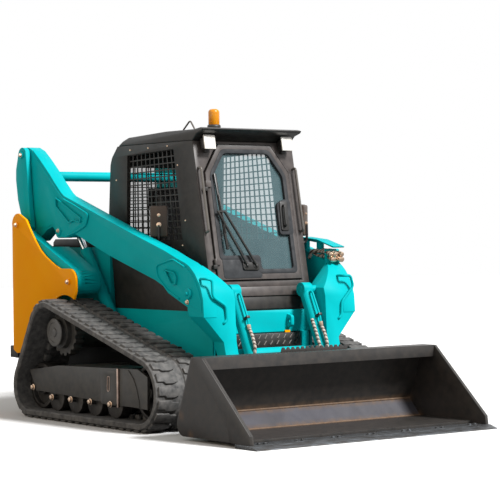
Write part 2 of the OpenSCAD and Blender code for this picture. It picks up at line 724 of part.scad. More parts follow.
module bucket() {
  t = bucket_t;
  top = bucket_top;
  lip = [1238, top];
  heel = 66;
  color("#333333") put() {
    // floor, sloped heel, back and top channel from one bent plate
    slab([lip, [1111, top], on_back(heel, 0), [1090, edge_t], [reach - 200, edge_t], [reach - 200, edge_t + t],
      [1090 + 0.45 * t, edge_t + t], on_back(heel, -t) + [0.3 * t, 0.2 * t], [1111 + 0.7 * t, top - t],
      [lip[0] - t, top - t], [lip[0] - t, top - 76], [lip[0], top - 76]], 5 - bucket_hw, bucket_hw - 5);
    both() {
      slab(concat([lip, [1111, top]], circ(back_low + [70, 5], 71, 159, 270, 6),
        [[reach - 72, edge_t], [reach - 80, 81]]),
        bucket_hw - 15, bucket_hw);
      // wear strip along the cheek's front edge
      slab([lip - [2, 2], [1126, top - 2], [reach - 330, 176], [reach - 300, 108], [reach - 285, edge_t + 1],
        [reach - 73, edge_t + 1], [reach - 81, 80]],
        bucket_hw - 1, bucket_hw + 9);
    }
  }
}

module cutting_edge() {
  color("#4a4540") put()
    slab([[reach - 221, 0], [reach, 0], [reach, 6], [reach - 65, edge_t], [reach - 221, edge_t]],
      -edge_hw, edge_hw);
}

module bucket_step() {
  n = 14;
  w = 270;
  color("#2c2c2c") put() slice(concat([[w, bucket_top], [-w, bucket_top]],
    [for (i = [0:n - 1]) each [[-w + (i + 0.1) * 2 * w / n, bucket_top + 16],
      [-w + (i + 0.3) * 2 * w / n, bucket_top + 30], [-w + (i + 0.7) * 2 * w / n, bucket_top + 30],
      [-w + (i + 0.9) * 2 * w / n, bucket_top + 16]]]), 1130, 1138);
}

main_frame();
front_panel();
step_plate();
rear_plates();
rear_frame();
engine_cover();
engine_block();
exhaust();
tail_lamps();
tailgate();
tailgate_grille();
track_left();
track_right();
track_frames();
rollers();
idlers();
sprockets();
cab_shell();
cab_roof();
side_mesh();
rear_window();
seat();
consoles();
work_lamps();
beacon();
mirrors();
grab_rails();
door_frame();
door_glass();
wiper();
lift_arms();
arm_cross_tube();
knee_cross_member();
hose_cover();
rear_links();
control_links();
lift_barrels();
lift_rods();
tilt_barrels();
tilt_rods();
coupler();
bucket();
cutting_edge();
bucket_step();
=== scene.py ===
# %% [markdown]
# # Dressing a compact track loader
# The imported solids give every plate, pin and cylinder its place. This lesson gives them their looks: paint
# with rounded edges, rubber, glass, bolts, hoses and soft seats. Each cell adds one group of pieces and
# prints what it made.

# %% Load the frame
import math

import bpy
from mathutils import Matrix, Vector


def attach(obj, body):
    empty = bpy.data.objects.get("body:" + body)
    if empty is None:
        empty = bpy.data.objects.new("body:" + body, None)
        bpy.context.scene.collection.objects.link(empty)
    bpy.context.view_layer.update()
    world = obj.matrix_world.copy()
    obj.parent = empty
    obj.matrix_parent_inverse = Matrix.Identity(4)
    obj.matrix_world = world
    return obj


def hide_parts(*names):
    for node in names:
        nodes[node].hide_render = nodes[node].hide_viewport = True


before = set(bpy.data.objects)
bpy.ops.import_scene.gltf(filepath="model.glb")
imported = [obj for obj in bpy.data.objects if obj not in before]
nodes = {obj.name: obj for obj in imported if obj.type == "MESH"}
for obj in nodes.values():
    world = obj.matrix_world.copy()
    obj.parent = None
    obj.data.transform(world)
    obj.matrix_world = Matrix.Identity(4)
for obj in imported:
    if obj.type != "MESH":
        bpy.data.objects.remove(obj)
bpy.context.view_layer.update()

# %% [markdown]
# ## One drawing, one datum
# The machine was drawn in millimetres, with x measured from a datum that lies 135 mm behind the middle of
# the frame. Reading places from the same drawing keeps every bolt on its plate, so one small function turns
# drawing sizes into metres. Another does the same in the cab's leaning front plane.

# %% Places on the drawing
MM = 0.001
DATUM_X = 135
FRONT_ORIGIN = (560, 940)
FRONT_LEAN = math.radians(11)
PIN = {"A": (-1352, 1346), "B": (-641, 945), "C": (-1425, 1851), "L": (-988, 1299), "P": (890, 200),
       "T": (660, 890), "E": (945, 295.3)}
SIDES = (("right", -1), ("left", 1))
ORIGIN = Vector((0, 0, 0))
AHEAD = Vector((1, 0, 0))
UP = Vector((0, 0, 1))


def side(x, z, y):
    """A point of the side view, y millimetres from the middle plane."""
    return Vector((x - DATUM_X, y, z)) / 1000


def front(y, z, out):
    """A point of the cab's leaning front plane, out millimetres in front of it."""
    x = FRONT_ORIGIN[0] - z * math.sin(FRONT_LEAN) + out * math.cos(FRONT_LEAN)
    return side(x, FRONT_ORIGIN[1] + z * math.cos(FRONT_LEAN) + out * math.sin(FRONT_LEAN), y)


def on_side(line, y):
    """A line of the side view as points."""
    return [side(x, z, y) for x, z in line]


def in_front(line, out):
    """A line of the front plane as points."""
    return [front(y, z, out) for y, z in line]


def flat(line):
    """A line of a model's own plan as points."""
    return [Vector((x, y, 0)) * MM for x, y in line]


def sideways(mm):
    """A push across the machine, to the left where it is more than nought."""
    return Vector((0, mm * MM, 0))


def outwards(mm):
    """A push straight out of the front plane."""
    return front(0, 0, mm) - front(0, 0, 0)


def box(a0, b0, a1, b1):
    """The four corners of an upright rectangle."""
    return [(a0, b0), (a1, b0), (a1, b1), (a0, b1)]


print("bucket pin:", side(*PIN["P"], 420))

# %% [markdown]
# ## Camera and light
# The picture was taken from the front right with a long lens at chest height. The front and the top are
# brightly lit and the right side lies in shade, so one broad sun stands ahead and to the left and a pale
# world fills the rest.

# %% Camera
CAMERA_AT = Vector((10.446, -7.447, 1.258))
CAMERA_TURN = math.radians(53.68)
CAMERA_PITCH = math.radians(-0.466)
CAMERA_ROLL = math.radians(-0.602)
LENS = 135.8
SENSOR = 36
scene = bpy.context.scene
camera = bpy.data.objects.new("camera", bpy.data.cameras.new("camera"))
scene.collection.objects.link(camera)
camera.data.lens = LENS
camera.data.sensor_width = SENSOR
turn = Matrix.Rotation(CAMERA_TURN, 4, "Z") @ Matrix.Rotation(math.pi / 2 + CAMERA_PITCH, 4, "X")
camera.matrix_world = Matrix.Translation(CAMERA_AT) @ turn @ Matrix.Rotation(CAMERA_ROLL, 4, "Z")
scene.camera = camera
scene.view_settings.view_transform = "Standard"
print("camera", CAMERA_AT, "lens", LENS)

# %% Shader nodes


def put(tree, node, inputs):
    """Sets a node's inputs from (socket, value or source socket) pairs."""
    for socket, value in inputs:
        if isinstance(value, bpy.types.NodeSocket):
            tree.links.new(value, node.inputs[socket])
        else:
            node.inputs[socket].default_value = value


def add(tree, kind, inputs=(), **settings):
    """Adds a shader node with its settings and inputs."""
    made = tree.nodes.new("ShaderNode" + kind)
    for name, value in settings.items():
        setattr(made, name, value)
    put(tree, made, inputs)
    return made


def reckon(tree, operation, *values):
    """The result of a math node."""
    return add(tree, "Math", enumerate(values), operation=operation).outputs[0]


def ranged(tree, value, start, end, low=0, high=1):
    """One range of values mapped to another."""
    return add(tree, "MapRange", [("Value", value), ("From Min", start), ("From Max", end), ("To Min", low),
                                  ("To Max", high)]).outputs[0]


def rgb(text):
    """sRGB hex to linear RGBA."""
    parts = [int(text[i:i + 2], 16) / 255 for i in (1, 3, 5)]
    return [p / 12.92 if p <= 0.04045 else ((p + 0.055) / 1.055) ** 2.4 for p in parts] + [1]


def blend(tree, share, first, second):
    """Two colours mixed, each one a hex value or a socket."""
    color1, color2 = (rgb(color) if isinstance(color, str) else color for color in (first, second))
    return add(tree, "MixRGB", [("Fac", share), ("Color1", color1), ("Color2", color2)]).outputs[0]


print("shader helpers ready")

# %% Light and floor
SUN_FROM, SUN_STRENGTH, SUN_WIDE = (0.68, 0.24, 0.70), 5.3, 14
FILL_FROM, FILL_STRENGTH, FILL_WIDE = (-0.1, -1.0, 0.3), 0.6, 70
FILL_COLOR = (1.0, 0.74, 0.42)
WORLD_STRENGTH = 0.40
BACKDROP = 1.0
FLOOR_SIZE = 60


def shine(name, stands, strength, wide, color=(1, 1, 1)):
    """A sun lamp that stands in a direction and looks as wide as an angle."""
    light = bpy.data.objects.new(name, bpy.data.lights.new(name, "SUN"))
    scene.collection.objects.link(light)
    light.data.energy = strength
    light.data.angle = math.radians(wide)
    light.data.color = color
    light.rotation_euler = Vector(stands).to_track_quat("Z", "Y").to_euler()


shine("sun", SUN_FROM, SUN_STRENGTH, SUN_WIDE)
# a weak warm fill from the machine's right, as a lit wall would give
shine("fill", FILL_FROM, FILL_STRENGTH, FILL_WIDE, FILL_COLOR)
world = bpy.data.worlds.new("studio")
scene.world = world
world.use_nodes = True
sky = world.node_tree
sky.nodes.clear()
ray = add(sky, "LightPath").outputs
clear = reckon(sky, "MAXIMUM", ray["Is Glossy Ray"], ray["Is Transmission Ray"])
seen = reckon(sky, "MAXIMUM", ray["Is Camera Ray"], clear)
level = ranged(sky, seen, 0, 1, WORLD_STRENGTH, BACKDROP)
pale = add(sky, "Background", [("Color", rgb("#FFFFFF")), ("Strength", level)])
add(sky, "OutputWorld", [("Surface", pale.outputs[0])])

bpy.ops.object.select_all(action="DESELECT")
bpy.ops.mesh.primitive_plane_add(size=FLOOR_SIZE)
floor = bpy.context.object
floor.name = "floor"
print("lights: sun, fill and world")

# %% [markdown]
# ## Finishes
# Every finish starts from what the surface is: enamel sprayed on plate, powder coat, moulded rubber, ground
# steel. The patterns read object coordinates, so a scale is one over a real size. Colours are sRGB hex
# values.

# %% Finish helpers


def new_finish(name):
    """An empty finish with its output, its principled shader and the object coordinates."""
    finish = bpy.data.materials.new(name)
    finish.use_nodes = True
    tree = finish.node_tree
    tree.nodes.clear()
    shader = add(tree, "BsdfPrincipled")
    add(tree, "OutputMaterial", [("Surface", shader.outputs[0])])
    return finish, tree, shader, add(tree, "TexCoord").outputs["Object"]


def opened(finish):
    """A finish to work on: its tree, its shader, its colour so far and the object coordinates."""
    tree = finish.node_tree
    shader = next(n for n in tree.nodes if n.type == "BSDF_PRINCIPLED")
    base = shader.inputs["Base Color"].links[0].from_socket
    return tree, shader, base, add(tree, "TexCoord").outputs["Object"]


def grain(tree, where, size_mm, detail):
    """Noise of a real size."""
    noise = add(tree, "TexNoise", [("Vector", where), ("Scale", 1 / (size_mm * MM)), ("Detail", detail)])
    return noise.outputs["Fac"]


def mottle(tree, where, size_mm, low, high, detail=3):
    """Noise of a real size, mapped to a range."""
    return ranged(tree, grain(tree, where, size_mm, detail), 0.3, 0.7, low, high)


def set_shader(tree, shader, color, rough, height=None, depth_mm=0.2, **sockets):
    """Links colour, roughness and bump to the shader and sets its plain sockets."""
    put(tree, shader, [("Base Color", color), ("Roughness", rough)])
    if height is not None:
        bump = add(tree, "Bump", [("Height", height), ("Distance", depth_mm * MM), ("Strength", 1.0)])
        put(tree, shader, [("Normal", bump.outputs[0])])
    put(tree, shader, [(name.replace("_", " "), value) for name, value in sockets.items()])


def coated(name, color, shade, rough, peel_mm, depth_mm, dust="#8A8275", dusty=0.06, **sockets):
    """Sprayed or powder coated steel: a slow drift of shade, specks of dust and fine orange peel."""
    finish, tree, shader, where = new_finish(name)
    base = blend(tree, mottle(tree, where, 260, 0, 1), color, shade)
    dusted = blend(tree, mottle(tree, where, 45, 0, dusty, 8), base, dust)
    set_shader(tree, shader, dusted, mottle(tree, where, 90, rough, rough + 0.1),
               grain(tree, where, peel_mm, 2), depth_mm, **sockets)
    return finish


def skin(name, colors, drift, rough, relief=None, depth_mm=0.2, **sockets):
    """Two colours that drift into each other, with a roughness and perhaps a fine relief.

    drift gives a size, the most of the second colour and the detail; rough a size, the least and the most;
    relief the size and the detail of a grain.
    """
    finish, tree, shader, where = new_finish(name)
    size_mm, most, detail = drift
    base = blend(tree, mottle(tree, where, size_mm, 0, most, detail), *colors)
    height = grain(tree, where, *relief) if relief else None
    set_shader(tree, shader, base, mottle(tree, where, *rough), height, depth_mm, **sockets)
    return finish


print("finish helpers ready")

# %% Paint


def enamel(name, color, shade):
    """Polyurethane enamel sprayed on plate: strong colour, soft gloss and faint orange peel."""
    return coated("polyurethane_enamel_" + name, color, shade, 0.42, 5, 0.03, dusty=0.002,
                  Specular_IOR_Level=0.06)


TURQUOISE = ("#00B3B8", "#00A8AD")
turquoise = enamel("turquoise", *TURQUOISE)
yellow = enamel("yellow", "#FFA800", "#FFA200")
# powder coat: satin, with a visible fine grain
cab_black = coated("powder_coat_black", "#1F1D1C", "#1A1918", 0.40, 3, 0.06, Specular_IOR_Level=0.3)
roof_black = coated("powder_coat_roof_black", "#151515", "#1B1B1B", 0.30, 3, 0.06)
frame_grey = coated("powder_coat_warm_grey", "#3D3735", "#352F2E", 0.38, 3, 0.06, "#7E746D", 0.18)
under_black = coated("powder_coat_undercarriage", "#2D2D2C", "#272625", 0.45, 4, 0.08, dusty=0.12)
hub_grey = coated("powder_coat_hub_grey", "#4B4B4A", "#434241", 0.36, 4, 0.06, dusty=0.15)
bucket_black = coated("scuffed_black_enamel", "#2A2928", "#242322", 0.38, 6, 0.05, "#5C5148", 0.2)
step_steel = coated("worn_tread_plate", "#4A4541", "#35312E", 0.35, 4, 0.1, dusty=0.2)
satin_rod = coated("satin_black_rod", "#4A4642", "#5A544E", 0.22, 3, 0.03, Coat_Weight=0.5)
print("painted finishes:", len(bpy.data.materials))

# %% Soil in the bucket
CREASES = ((994, 150), (1097, 41))
SOIL_REACH = 0.042
PALE_BAND_HALF = 0.92


def soil_and_pale_band(finish, first, second, dust, band):
    """Soil marks: brown dust along both creases of the bucket; and a paler bluish-grey band between them."""
    tree, shader, base, spot = opened(finish)
    upright = add(tree, "Mapping", [("Vector", spot), ("Scale", (1, 0, 1))]).outputs[0]
    across = add(tree, "VectorMath", [(0, upright), (1, first)], operation="SUBTRACT").outputs[0]
    run = second - first
    share = add(tree, "VectorMath", [(0, across), (1, run / run.length_squared)],
                operation="DOT_PRODUCT").outputs["Value"]
    middle = reckon(tree, "COMPARE", share, 0.5, 0.5)
    half = reckon(tree, "ABSOLUTE", add(tree, "SeparateXYZ", [("Vector", spot)]).outputs["Y"])
    # a paler bluish-grey band on the face between the two creases
    in_band = reckon(tree, "MULTIPLY", middle, reckon(tree, "LESS_THAN", half, PALE_BAND_HALF))
    band_share = reckon(tree, "MULTIPLY", in_band, mottle(tree, spot, 260, 0.55, 1.0, 5))
    base = blend(tree, band_share, base, band)
    for crease in (first, second):
        away = add(tree, "VectorMath", [(0, upright), (1, crease)], operation="DISTANCE").outputs["Value"]
        near = ranged(tree, away, 0, SOIL_REACH, 1, 0)
        base = blend(tree, reckon(tree, "MULTIPLY", near, mottle(tree, spot, 45, 0.1, 1.3, 6)), base, dust)
    put(tree, shader, [("Base Color", base)])
    return finish


soiled = coated("scuffed_black_enamel_soiled", "#272625", "#21201F", 0.38, 6, 0.05, "#5C5148", 0.2)
bucket_soil_and_pale_band = soil_and_pale_band(soiled, *on_side(CREASES, 0), "#5C4734", "#4A4950")
print("soiled finish:", bucket_soil_and_pale_band.name)

# %% Metals, rubber, glass and plastics


def ground_steel():
    """Cutting edge steel worn bright by soil: dark brown skin with pale scratches along the blade."""
    finish, tree, shader, where = new_finish("abraded_high_carbon_steel")
    along = add(tree, "Mapping", [("Vector", where), ("Scale", (400, 8, 400))])
    noise = add(tree, "TexNoise", [("Vector", along.outputs[0]), ("Scale", 1.0), ("Detail", 4)])
    scratch = noise.outputs["Fac"]
    color = blend(tree, ranged(tree, scratch, 0.45, 0.7), "#3E3A36", "#8C949C")
    set_shader(tree, shader, color, mottle(tree, where, 30, 0.35, 0.55), scratch, 0.15, Metallic=0.8)
    return finish


def rubber(name, color, dust, dusty, grain_mm):
    """Moulded rubber: dull, grey with dust in its scuffs."""
    return skin(name, (color, dust), (35, dusty, 8), (60, 0.6, 0.85), (grain_mm, 5), 0.5)


def metal(name, color, tint, rough, grain_mm, depth_mm=0.03):
    """Bare or plated metal with a fine grain."""
    return skin(name, (color, tint), (40, 1, 5), (25, rough, rough + 0.12), (grain_mm, 4), depth_mm,
                Metallic=1.0)


def plastic(name, color, tint, rough, grain_mm=1.2, **sockets):
    """Injection moulded plastic with a fine spark-eroded grain."""
    return skin(name, (color, tint), (70, 1, 3), (50, rough, rough + 0.12), (grain_mm, 2), 0.06, **sockets)


def glass(name, color, haze, cover):
    """Tinted safety glass with a thin film of dust. Light passes straight through by plain alpha."""
    return skin(name, (color, haze), (120, 1, 4), (200, 0.02, 0.05), Alpha=cover, IOR=1.45)


def woven(name, pale_yarn, dark_yarn, pitch_mm):
    """Braided yarn: pale with dark flecks along a slanting pitch."""
    finish, tree, shader, where = new_finish(name)
    slant = add(tree, "Mapping", [("Vector", where), ("Rotation", (0.5, 0.6, 0))])
    yarn = add(tree, "TexWave", [("Vector", slant.outputs[0]), ("Scale", 0.314 / (pitch_mm * MM)),
                                 ("Distortion", 3.0), ("Detail", 2)],
               wave_type="BANDS", bands_direction="Z", wave_profile="SIN").outputs["Fac"]
    base = blend(tree, ranged(tree, yarn, 0.15, 0.55), dark_yarn, pale_yarn)
    set_shader(tree, shader, base, mottle(tree, where, 20, 0.6, 0.8), yarn, 1.5)
    return finish


def leathered(name, color, tint, grain_mm):
    """Vinyl with a soft sheen and a pressed leather grain."""
    finish, tree, shader, where = new_finish(name)
    base = blend(tree, mottle(tree, where, 60, 0, 1), color, tint)
    cells = add(tree, "TexVoronoi", [("Vector", where), ("Scale", 1 / (grain_mm * MM))])
    set_shader(tree, shader, base, mottle(tree, where, 40, 0.4, 0.55), cells.outputs["Distance"], 0.3,
               Sheen_Weight=0.1)
    return finish


edge_steel = ground_steel()
worn_rib = metal("handled_bare_steel", "#C4B0A4", "#A08C80", 0.35, 3)
chrome = metal("hard_chrome_plate", "#D9DDE0", "#C8CDD2", 0.08, 1)
zinc = metal("yellow_zinc_plate", "#E3C8AE", "#BFA794", 0.28, 2)
cast_iron = metal("painted_cast_iron", "#4A4846", "#3C3A38", 0.5, 4, 0.2)
weld_brown = rubber("rusted_weld_bead", "#5B4636", "#7D6650", 0.6, 6)
track_rubber = rubber("natural_rubber_moulded", "#373737", "#74716E", 0.65, 5)
gasket_rubber = rubber("epdm_gasket", "#1E2023", "#393B3F", 0.2, 3)
hose_rubber = rubber("nitrile_hose", "#1E1E1E", "#3A3836", 0.3, 3)
sleeve = woven("woven_nylon_sleeve", "#BDB2A8", "#54463C", 24)
vinyl = leathered("pvc_seat_vinyl", "#1B1B1C", "#252527", 4)
black_plastic = plastic("glass_filled_nylon_black", "#1D1C1B", "#272523", 0.42)
brown_plastic = plastic("abs_mirror_shell", "#3A2C22", "#453427", 0.35)
tinted_glass = glass("tinted_safety_glass", "#5F7A80", "#6A858A", 0.34)
# moulded lamp lenses: ribbed and glossy
lamp_lens = plastic("polycarbonate_lamp_lens", "#FFFDF8", "#E4DFD6", 0.2, 6)
amber_lens = plastic("polycarbonate_amber", "#F7A608", "#E58E00", 0.12, 8, Transmission_Weight=0.25)
red_lens = plastic("polycarbonate_red", "#A51210", "#8A0E0C", 0.15, 6)
print("finishes:", len(bpy.data.materials))

# %% A second paint by place, painted shade on the hull, and the floor
HULL_SHADE_BELOW, HULL_SHADE_BEHIND = 0.52, 0.10
EYE_REACH_MM = 58
FLOOR_BOUNCE = 0.3


def two_tone_and_painted_shade(finish, color, keep):
    """Mixes a second colour into a finish where a mask made from object coordinates says so."""
    tree, shader, base, spot = opened(finish)
    where = add(tree, "SeparateXYZ", [("Vector", spot)]).outputs
    put(tree, shader, [("Base Color", blend(tree, keep(tree, where), base, color))])
    return finish


def painted_shade_below(tree, where):
    """The mask of painted shade on the hull behind the tracks: low down and well back from the front."""
    low = reckon(tree, "LESS_THAN", where["Z"], HULL_SHADE_BELOW)
    return reckon(tree, "MULTIPLY", low, reckon(tree, "LESS_THAN", where["X"], HULL_SHADE_BEHIND))


def rod_eye(tree, where):
    """One inside a circle about the lift rod's pin in the side view, nought outside it."""
    at = side(*PIN["L"], 0)
    dx = reckon(tree, "SUBTRACT", where["X"], at.x)
    dz = reckon(tree, "SUBTRACT", where["Z"], at.z)
    far = reckon(tree, "ADD", reckon(tree, "MULTIPLY", dx, dx), reckon(tree, "MULTIPLY", dz, dz))
    return reckon(tree, "LESS_THAN", far, (EYE_REACH_MM * MM) ** 2)


def floor_finish():
    """Matt pale studio floor, which throws back less light than it shows."""
    finish, tree, shader, where = new_finish("matt_studio_floor")
    tone = mottle(tree, where, 2500, 0.90, 0.915)
    shown = ranged(tree, add(tree, "LightPath").outputs["Is Camera Ray"], 0, 1, FLOOR_BOUNCE, tone)
    grey = add(tree, "CombineColor", [(channel, shown) for channel in ("Red", "Green", "Blue")])
    set_shader(tree, shader, grey.outputs[0], 0.9, Specular_IOR_Level=0.0)
    return finish


# painted shade: the hull's enamel turns near black low down behind the tracks, where it lies in shadow
hull_enamel_and_painted_shade = two_tone_and_painted_shade(enamel("hull", *TURQUOISE), "#141516", painted_shade_below)
# the rod's eye is painted with the arm, and only the rod itself is bright
lift_rod_chrome = two_tone_and_painted_shade(metal("hard_chrome_painted_eye", "#D9DDE0", "#C8CDD2", 0.12, 1), "#00A4A9", rod_eye)
floor.data.materials.append(floor_finish())
print("finishes with two paints: 2")

# %% [markdown]
# ## Painted plates with rounded edges
# Flame-cut plate is ground and sprayed, so no edge is razor sharp and each one catches a thin line of
# light. The solids stay as they are. Three live modifiers on each one weld its triangles, merge flat faces
# and round the sharp edges.

# %% Dress the solids
PLAIN_EDGE_MM = 3.0
EDGE_MM = {"side_mesh": 0.8, "door_glass": 1.0, "rear_window": 1.0, "bucket_step": 1.2, "mirrors": 8,
           "door_frame": 6, "consoles": 8, "cab_roof": 9, "track_frames": 6}


def dress(node, finish):
    """Gives a solid its finish and rounds its edges."""
    solid = nodes[node]
    solid.data.materials.clear()
    solid.data.materials.append(finish)
    weld = solid.modifiers.new("weld", "WELD")
    weld.merge_threshold = 0.00002
    merge = solid.modifiers.new("flat", "DECIMATE")
    merge.decimate_type = "DISSOLVE"
    merge.angle_limit = math.radians(0.5)
    edge = solid.modifiers.new("edge", "BEVEL")
    edge.width = EDGE_MM.get(node, PLAIN_EDGE_MM) * MM
    edge.segments = 2
    edge.limit_method = "ANGLE"
    edge.angle_limit = math.radians(35)
    edge.harden_normals = True
    bpy.ops.object.select_all(action="DESELECT")
    solid.select_set(True)
    bpy.context.view_layer.objects.active = solid
    bpy.ops.object.shade_smooth()


FINISH = {
    hull_enamel_and_painted_shade: "main_frame",
    turquoise: "front_panel lift_arms arm_cross_tube knee_cross_member hose_cover rear_links "
               "control_links lift_barrels tilt_barrels",
    yellow: "rear_plates",
    cab_black: "rear_frame engine_cover tailgate tailgate_grille cab_shell side_mesh exhaust",
    roof_black: "cab_roof step_plate",
    frame_grey: "door_frame",
    under_black: "track_frames sprockets",
    cast_iron: "rollers idlers engine_block",
    track_rubber: "track_left track_right",
    lift_rod_chrome: "lift_rods",
    chrome: "tilt_rods",
    bucket_soil_and_pale_band: "bucket",
    bucket_black: "coupler bucket_step",
    edge_steel: "cutting_edge",
    tinted_glass: "door_glass rear_window",
    black_plastic: "seat consoles work_lamps beacon grab_rails wiper",
    brown_plastic: "mirrors",
    red_lens: "tail_lamps",
}
for finish, names in FINISH.items():
    for name in names.split():
        dress(name, finish)
print("dressed:", sum(len(names.split()) for names in FINISH.values()))

# %% [markdown]
# ## Helpers for modelling by hand
# A maker would cut plate to an outline, turn round pieces on a lathe and bend rod over a former. The
# helpers do the same with Blender's operators: a filled circle is pulled to an outline and extruded, a
# profile is spun about its axis, and a path with eased corners gets a round section. Bolts and lugs are
# modelled once and copied.

# %% Outlines


def corner_curve(before, corner, after, most, share, steps):
    """A corner eased into a curve that starts at most a distance, or a share of each side, from it."""
    reach = min(most, (before - corner).length * share, (after - corner).length * share)
    start = corner + (before - corner).normalized() * reach
    end = corner + (after - corner).normalized() * reach
    ts = [k / steps for k in range(steps + 1)]
    return [start * (1 - t) ** 2 + corner * 2 * t * (1 - t) + end * t ** 2 for t in ts]


def eased(points, bend_mm):
    """A path whose corners are eased into curves."""
    path = [points[0]]
    for before, corner, after in zip(points, points[1:], points[2:]):
        path += corner_curve(before, corner, after, bend_mm * MM, 0.48, 6)
    return path + [points[-1]]


def rounded(outline, radius):
    """The outline with eased corners."""
    line = [Vector(corner) for corner in outline]
    curves = [corner_curve(line[k - 1], corner, line[(k + 1) % len(line)], radius, 0.45, 5)
              for k, corner in enumerate(line)]
    return [tuple(point) for curve in curves for point in curve]


def inset(outline, by):
    """The outline moved inwards by a distance, corner by corner (anticlockwise outlines)."""
    moved = []
    for k, corner in enumerate(outline):
        a, b, c = Vector(outline[k - 1]), Vector(corner), Vector(outline[(k + 1) % len(outline)])
        n1 = Vector((a.y - b.y, b.x - a.x)).normalized()
        n2 = Vector((b.y - c.y, c.x - b.x)).normalized()
        moved.append(tuple(b + (n1 + n2) * (by / (1 + n1.dot(n2)))))
    return moved


print("outline helpers ready")

# %% Pieces


def only(*chosen):
    """Selects just these pieces, the last one active."""
    bpy.ops.object.select_all(action="DESELECT")
    for piece in chosen:
        piece.select_set(True)
    bpy.context.view_layer.objects.active = chosen[-1]


def named(name):
    """Names the active object and its mesh."""
    piece = bpy.context.object
    piece.name = piece.data.name = name
    return piece


def fresh(name, make, **settings):
    """A new primitive under a name."""
    bpy.ops.object.select_all(action="DESELECT")
    make(**settings)
    return named(name)


def joined(name, pieces):
    """Joins pieces into one."""
    only(*pieces)
    bpy.ops.object.join()
    return named(name)


def use_modifier(piece, kind, **settings):
    """Adds a modifier and applies it."""
    only(piece)
    made = piece.modifiers.new(kind.lower(), kind)
    for name, value in settings.items():
        setattr(made, name, value)
    bpy.ops.object.modifier_apply(modifier=made.name)


def soften(piece, edge_mm=0.0):
    """Rounds the sharp edges and shades the rest smooth."""
    if edge_mm:
        use_modifier(piece, "BEVEL", width=edge_mm * MM, segments=2, limit_method="ANGLE",
                     angle_limit=math.radians(30))
    only(piece)
    bpy.ops.object.shade_smooth_by_angle(angle=math.radians(40))
    return piece


def edit():
    """Opens the active mesh with everything selected."""
    bpy.ops.object.mode_set(mode="EDIT")
    bpy.ops.mesh.select_all(action="SELECT")


def close_up():
    """Merges doubles, drops loose edges and turns all normals outwards, and leaves edit mode."""
    bpy.ops.mesh.select_all(action="SELECT")
    bpy.ops.mesh.remove_doubles(threshold=0.00001)
    bpy.ops.mesh.delete_loose(use_verts=True, use_edges=True, use_faces=False)
    bpy.ops.mesh.select_all(action="SELECT")
    bpy.ops.mesh.normals_make_consistent(inside=False)
    bpy.ops.object.mode_set(mode="OBJECT")


def plate(name, outline, push, edge_mm=1.5):
    """A plate cut to an outline: a filled circle pulled to it and extruded by a vector."""
    piece = fresh(name, bpy.ops.mesh.primitive_circle_add, vertices=len(outline), fill_type="NGON")
    for vertex, place in zip(piece.data.vertices, outline):
        vertex.co = place
    edit()
    bpy.ops.mesh.extrude_region_move(TRANSFORM_OT_translate={"value": push})
    close_up()
    return soften(piece, edge_mm)


def ring(name, outer, inner, push, edge_mm=1.5):
    """A flat frame between two outlines: a square-section torus pulled to them."""
    piece = fresh(name, bpy.ops.mesh.primitive_torus_add, major_segments=len(outer), minor_segments=4)
    for i, (far, near) in enumerate(zip(outer, inner)):
        for j, place in enumerate((far, far + push, near + push, near)):
            piece.data.vertices[4 * i + j].co = place
    edit()
    close_up()
    return soften(piece, edge_mm)


def facing(at, axis, spin=0.0):
    """The place of a model whose own Z axis is to lie along an axis."""
    lean = axis.to_track_quat("Z", "Y").to_matrix().to_4x4()
    return Matrix.Translation(at) @ lean @ Matrix.Rotation(spin, 4, "Z")


def turned(name, profile, at, axis, steps):
    """A turned piece: a profile of radii and heights in millimetres, spun about its axis."""
    piece = fresh(name, bpy.ops.mesh.primitive_circle_add, vertices=len(profile), fill_type="NOTHING")
    for vertex, (radius, height) in zip(piece.data.vertices, profile):
        vertex.co = (radius * MM, 0, height * MM)
    edit()
    bpy.ops.mesh.spin(steps=steps, angle=2 * math.pi, center=(0, 0, 0), axis=(0, 0, 1))
    close_up()
    piece.data.transform(facing(at, axis))
    return soften(piece)


def rod(name, points, radius_mm, bend_mm=30, sides=3):
    """A bent rod or pipe: a path with eased corners, given a round section and made a mesh."""
    path = eased(points, bend_mm)
    curve = bpy.data.curves.new(name, "CURVE")
    curve.dimensions = "3D"
    curve.bevel_depth = radius_mm * MM
    curve.bevel_resolution = sides
    curve.use_fill_caps = True
    spline = curve.splines.new("POLY")
    spline.points.add(len(path) - 1)
    for point, place in zip(spline.points, path):
        point.co = (*place, 1)
    piece = bpy.data.objects.new(name, curve)
    scene.collection.objects.link(piece)
    only(piece)
    bpy.ops.object.convert(target="MESH")
    return soften(named(name))


def copies(name, model, places):
    """Copies a model to each place, each copy with its own mesh, and joins them."""
    made = []
    for place in places:
        one = model.copy()
        one.data = model.data.copy()
        one.data.transform(place)
        scene.collection.objects.link(one)
        made.append(one)
    return joined(name, made)


def drop(*models):
    """Removes models that were copied."""
    for model in models:
        bpy.data.objects.remove(model)


print("modelling helpers ready")


def settle(piece, finish, *stands_for, body="machine"):
    """Gives a piece its finish and its body, and hides the solids it stands for."""
    piece.data.materials.clear()
    piece.data.materials.append(finish)
    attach(piece, body)
    if stands_for:
        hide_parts(*stands_for)


# %% [markdown]
# ## Rubber tracks
# A rubber track is an endless moulded belt with steel cores. Outside it has two rows of stepped blocks with
# a groove between them, and windows in the groove where the drive wheel's teeth reach through. Inside,
# guide lugs keep the rollers on line. A ring primitive is pulled to the loop round the three wheels, and
# the blocks and lugs are modelled once and copied along it. The step that should push the windows in has a
# known fault, which its cell names.

# %% The loop of the track
DRIVE = (-700, 598)
WHEELS = ((-930, 218, 218), (470, 250, 250), (*DRIVE, 230))
BELT_DEEP = 58
TRACK_INNER, TRACK_WIDE = 525, 400
BLOCKS = 50
BLOCK_HIGH = 15


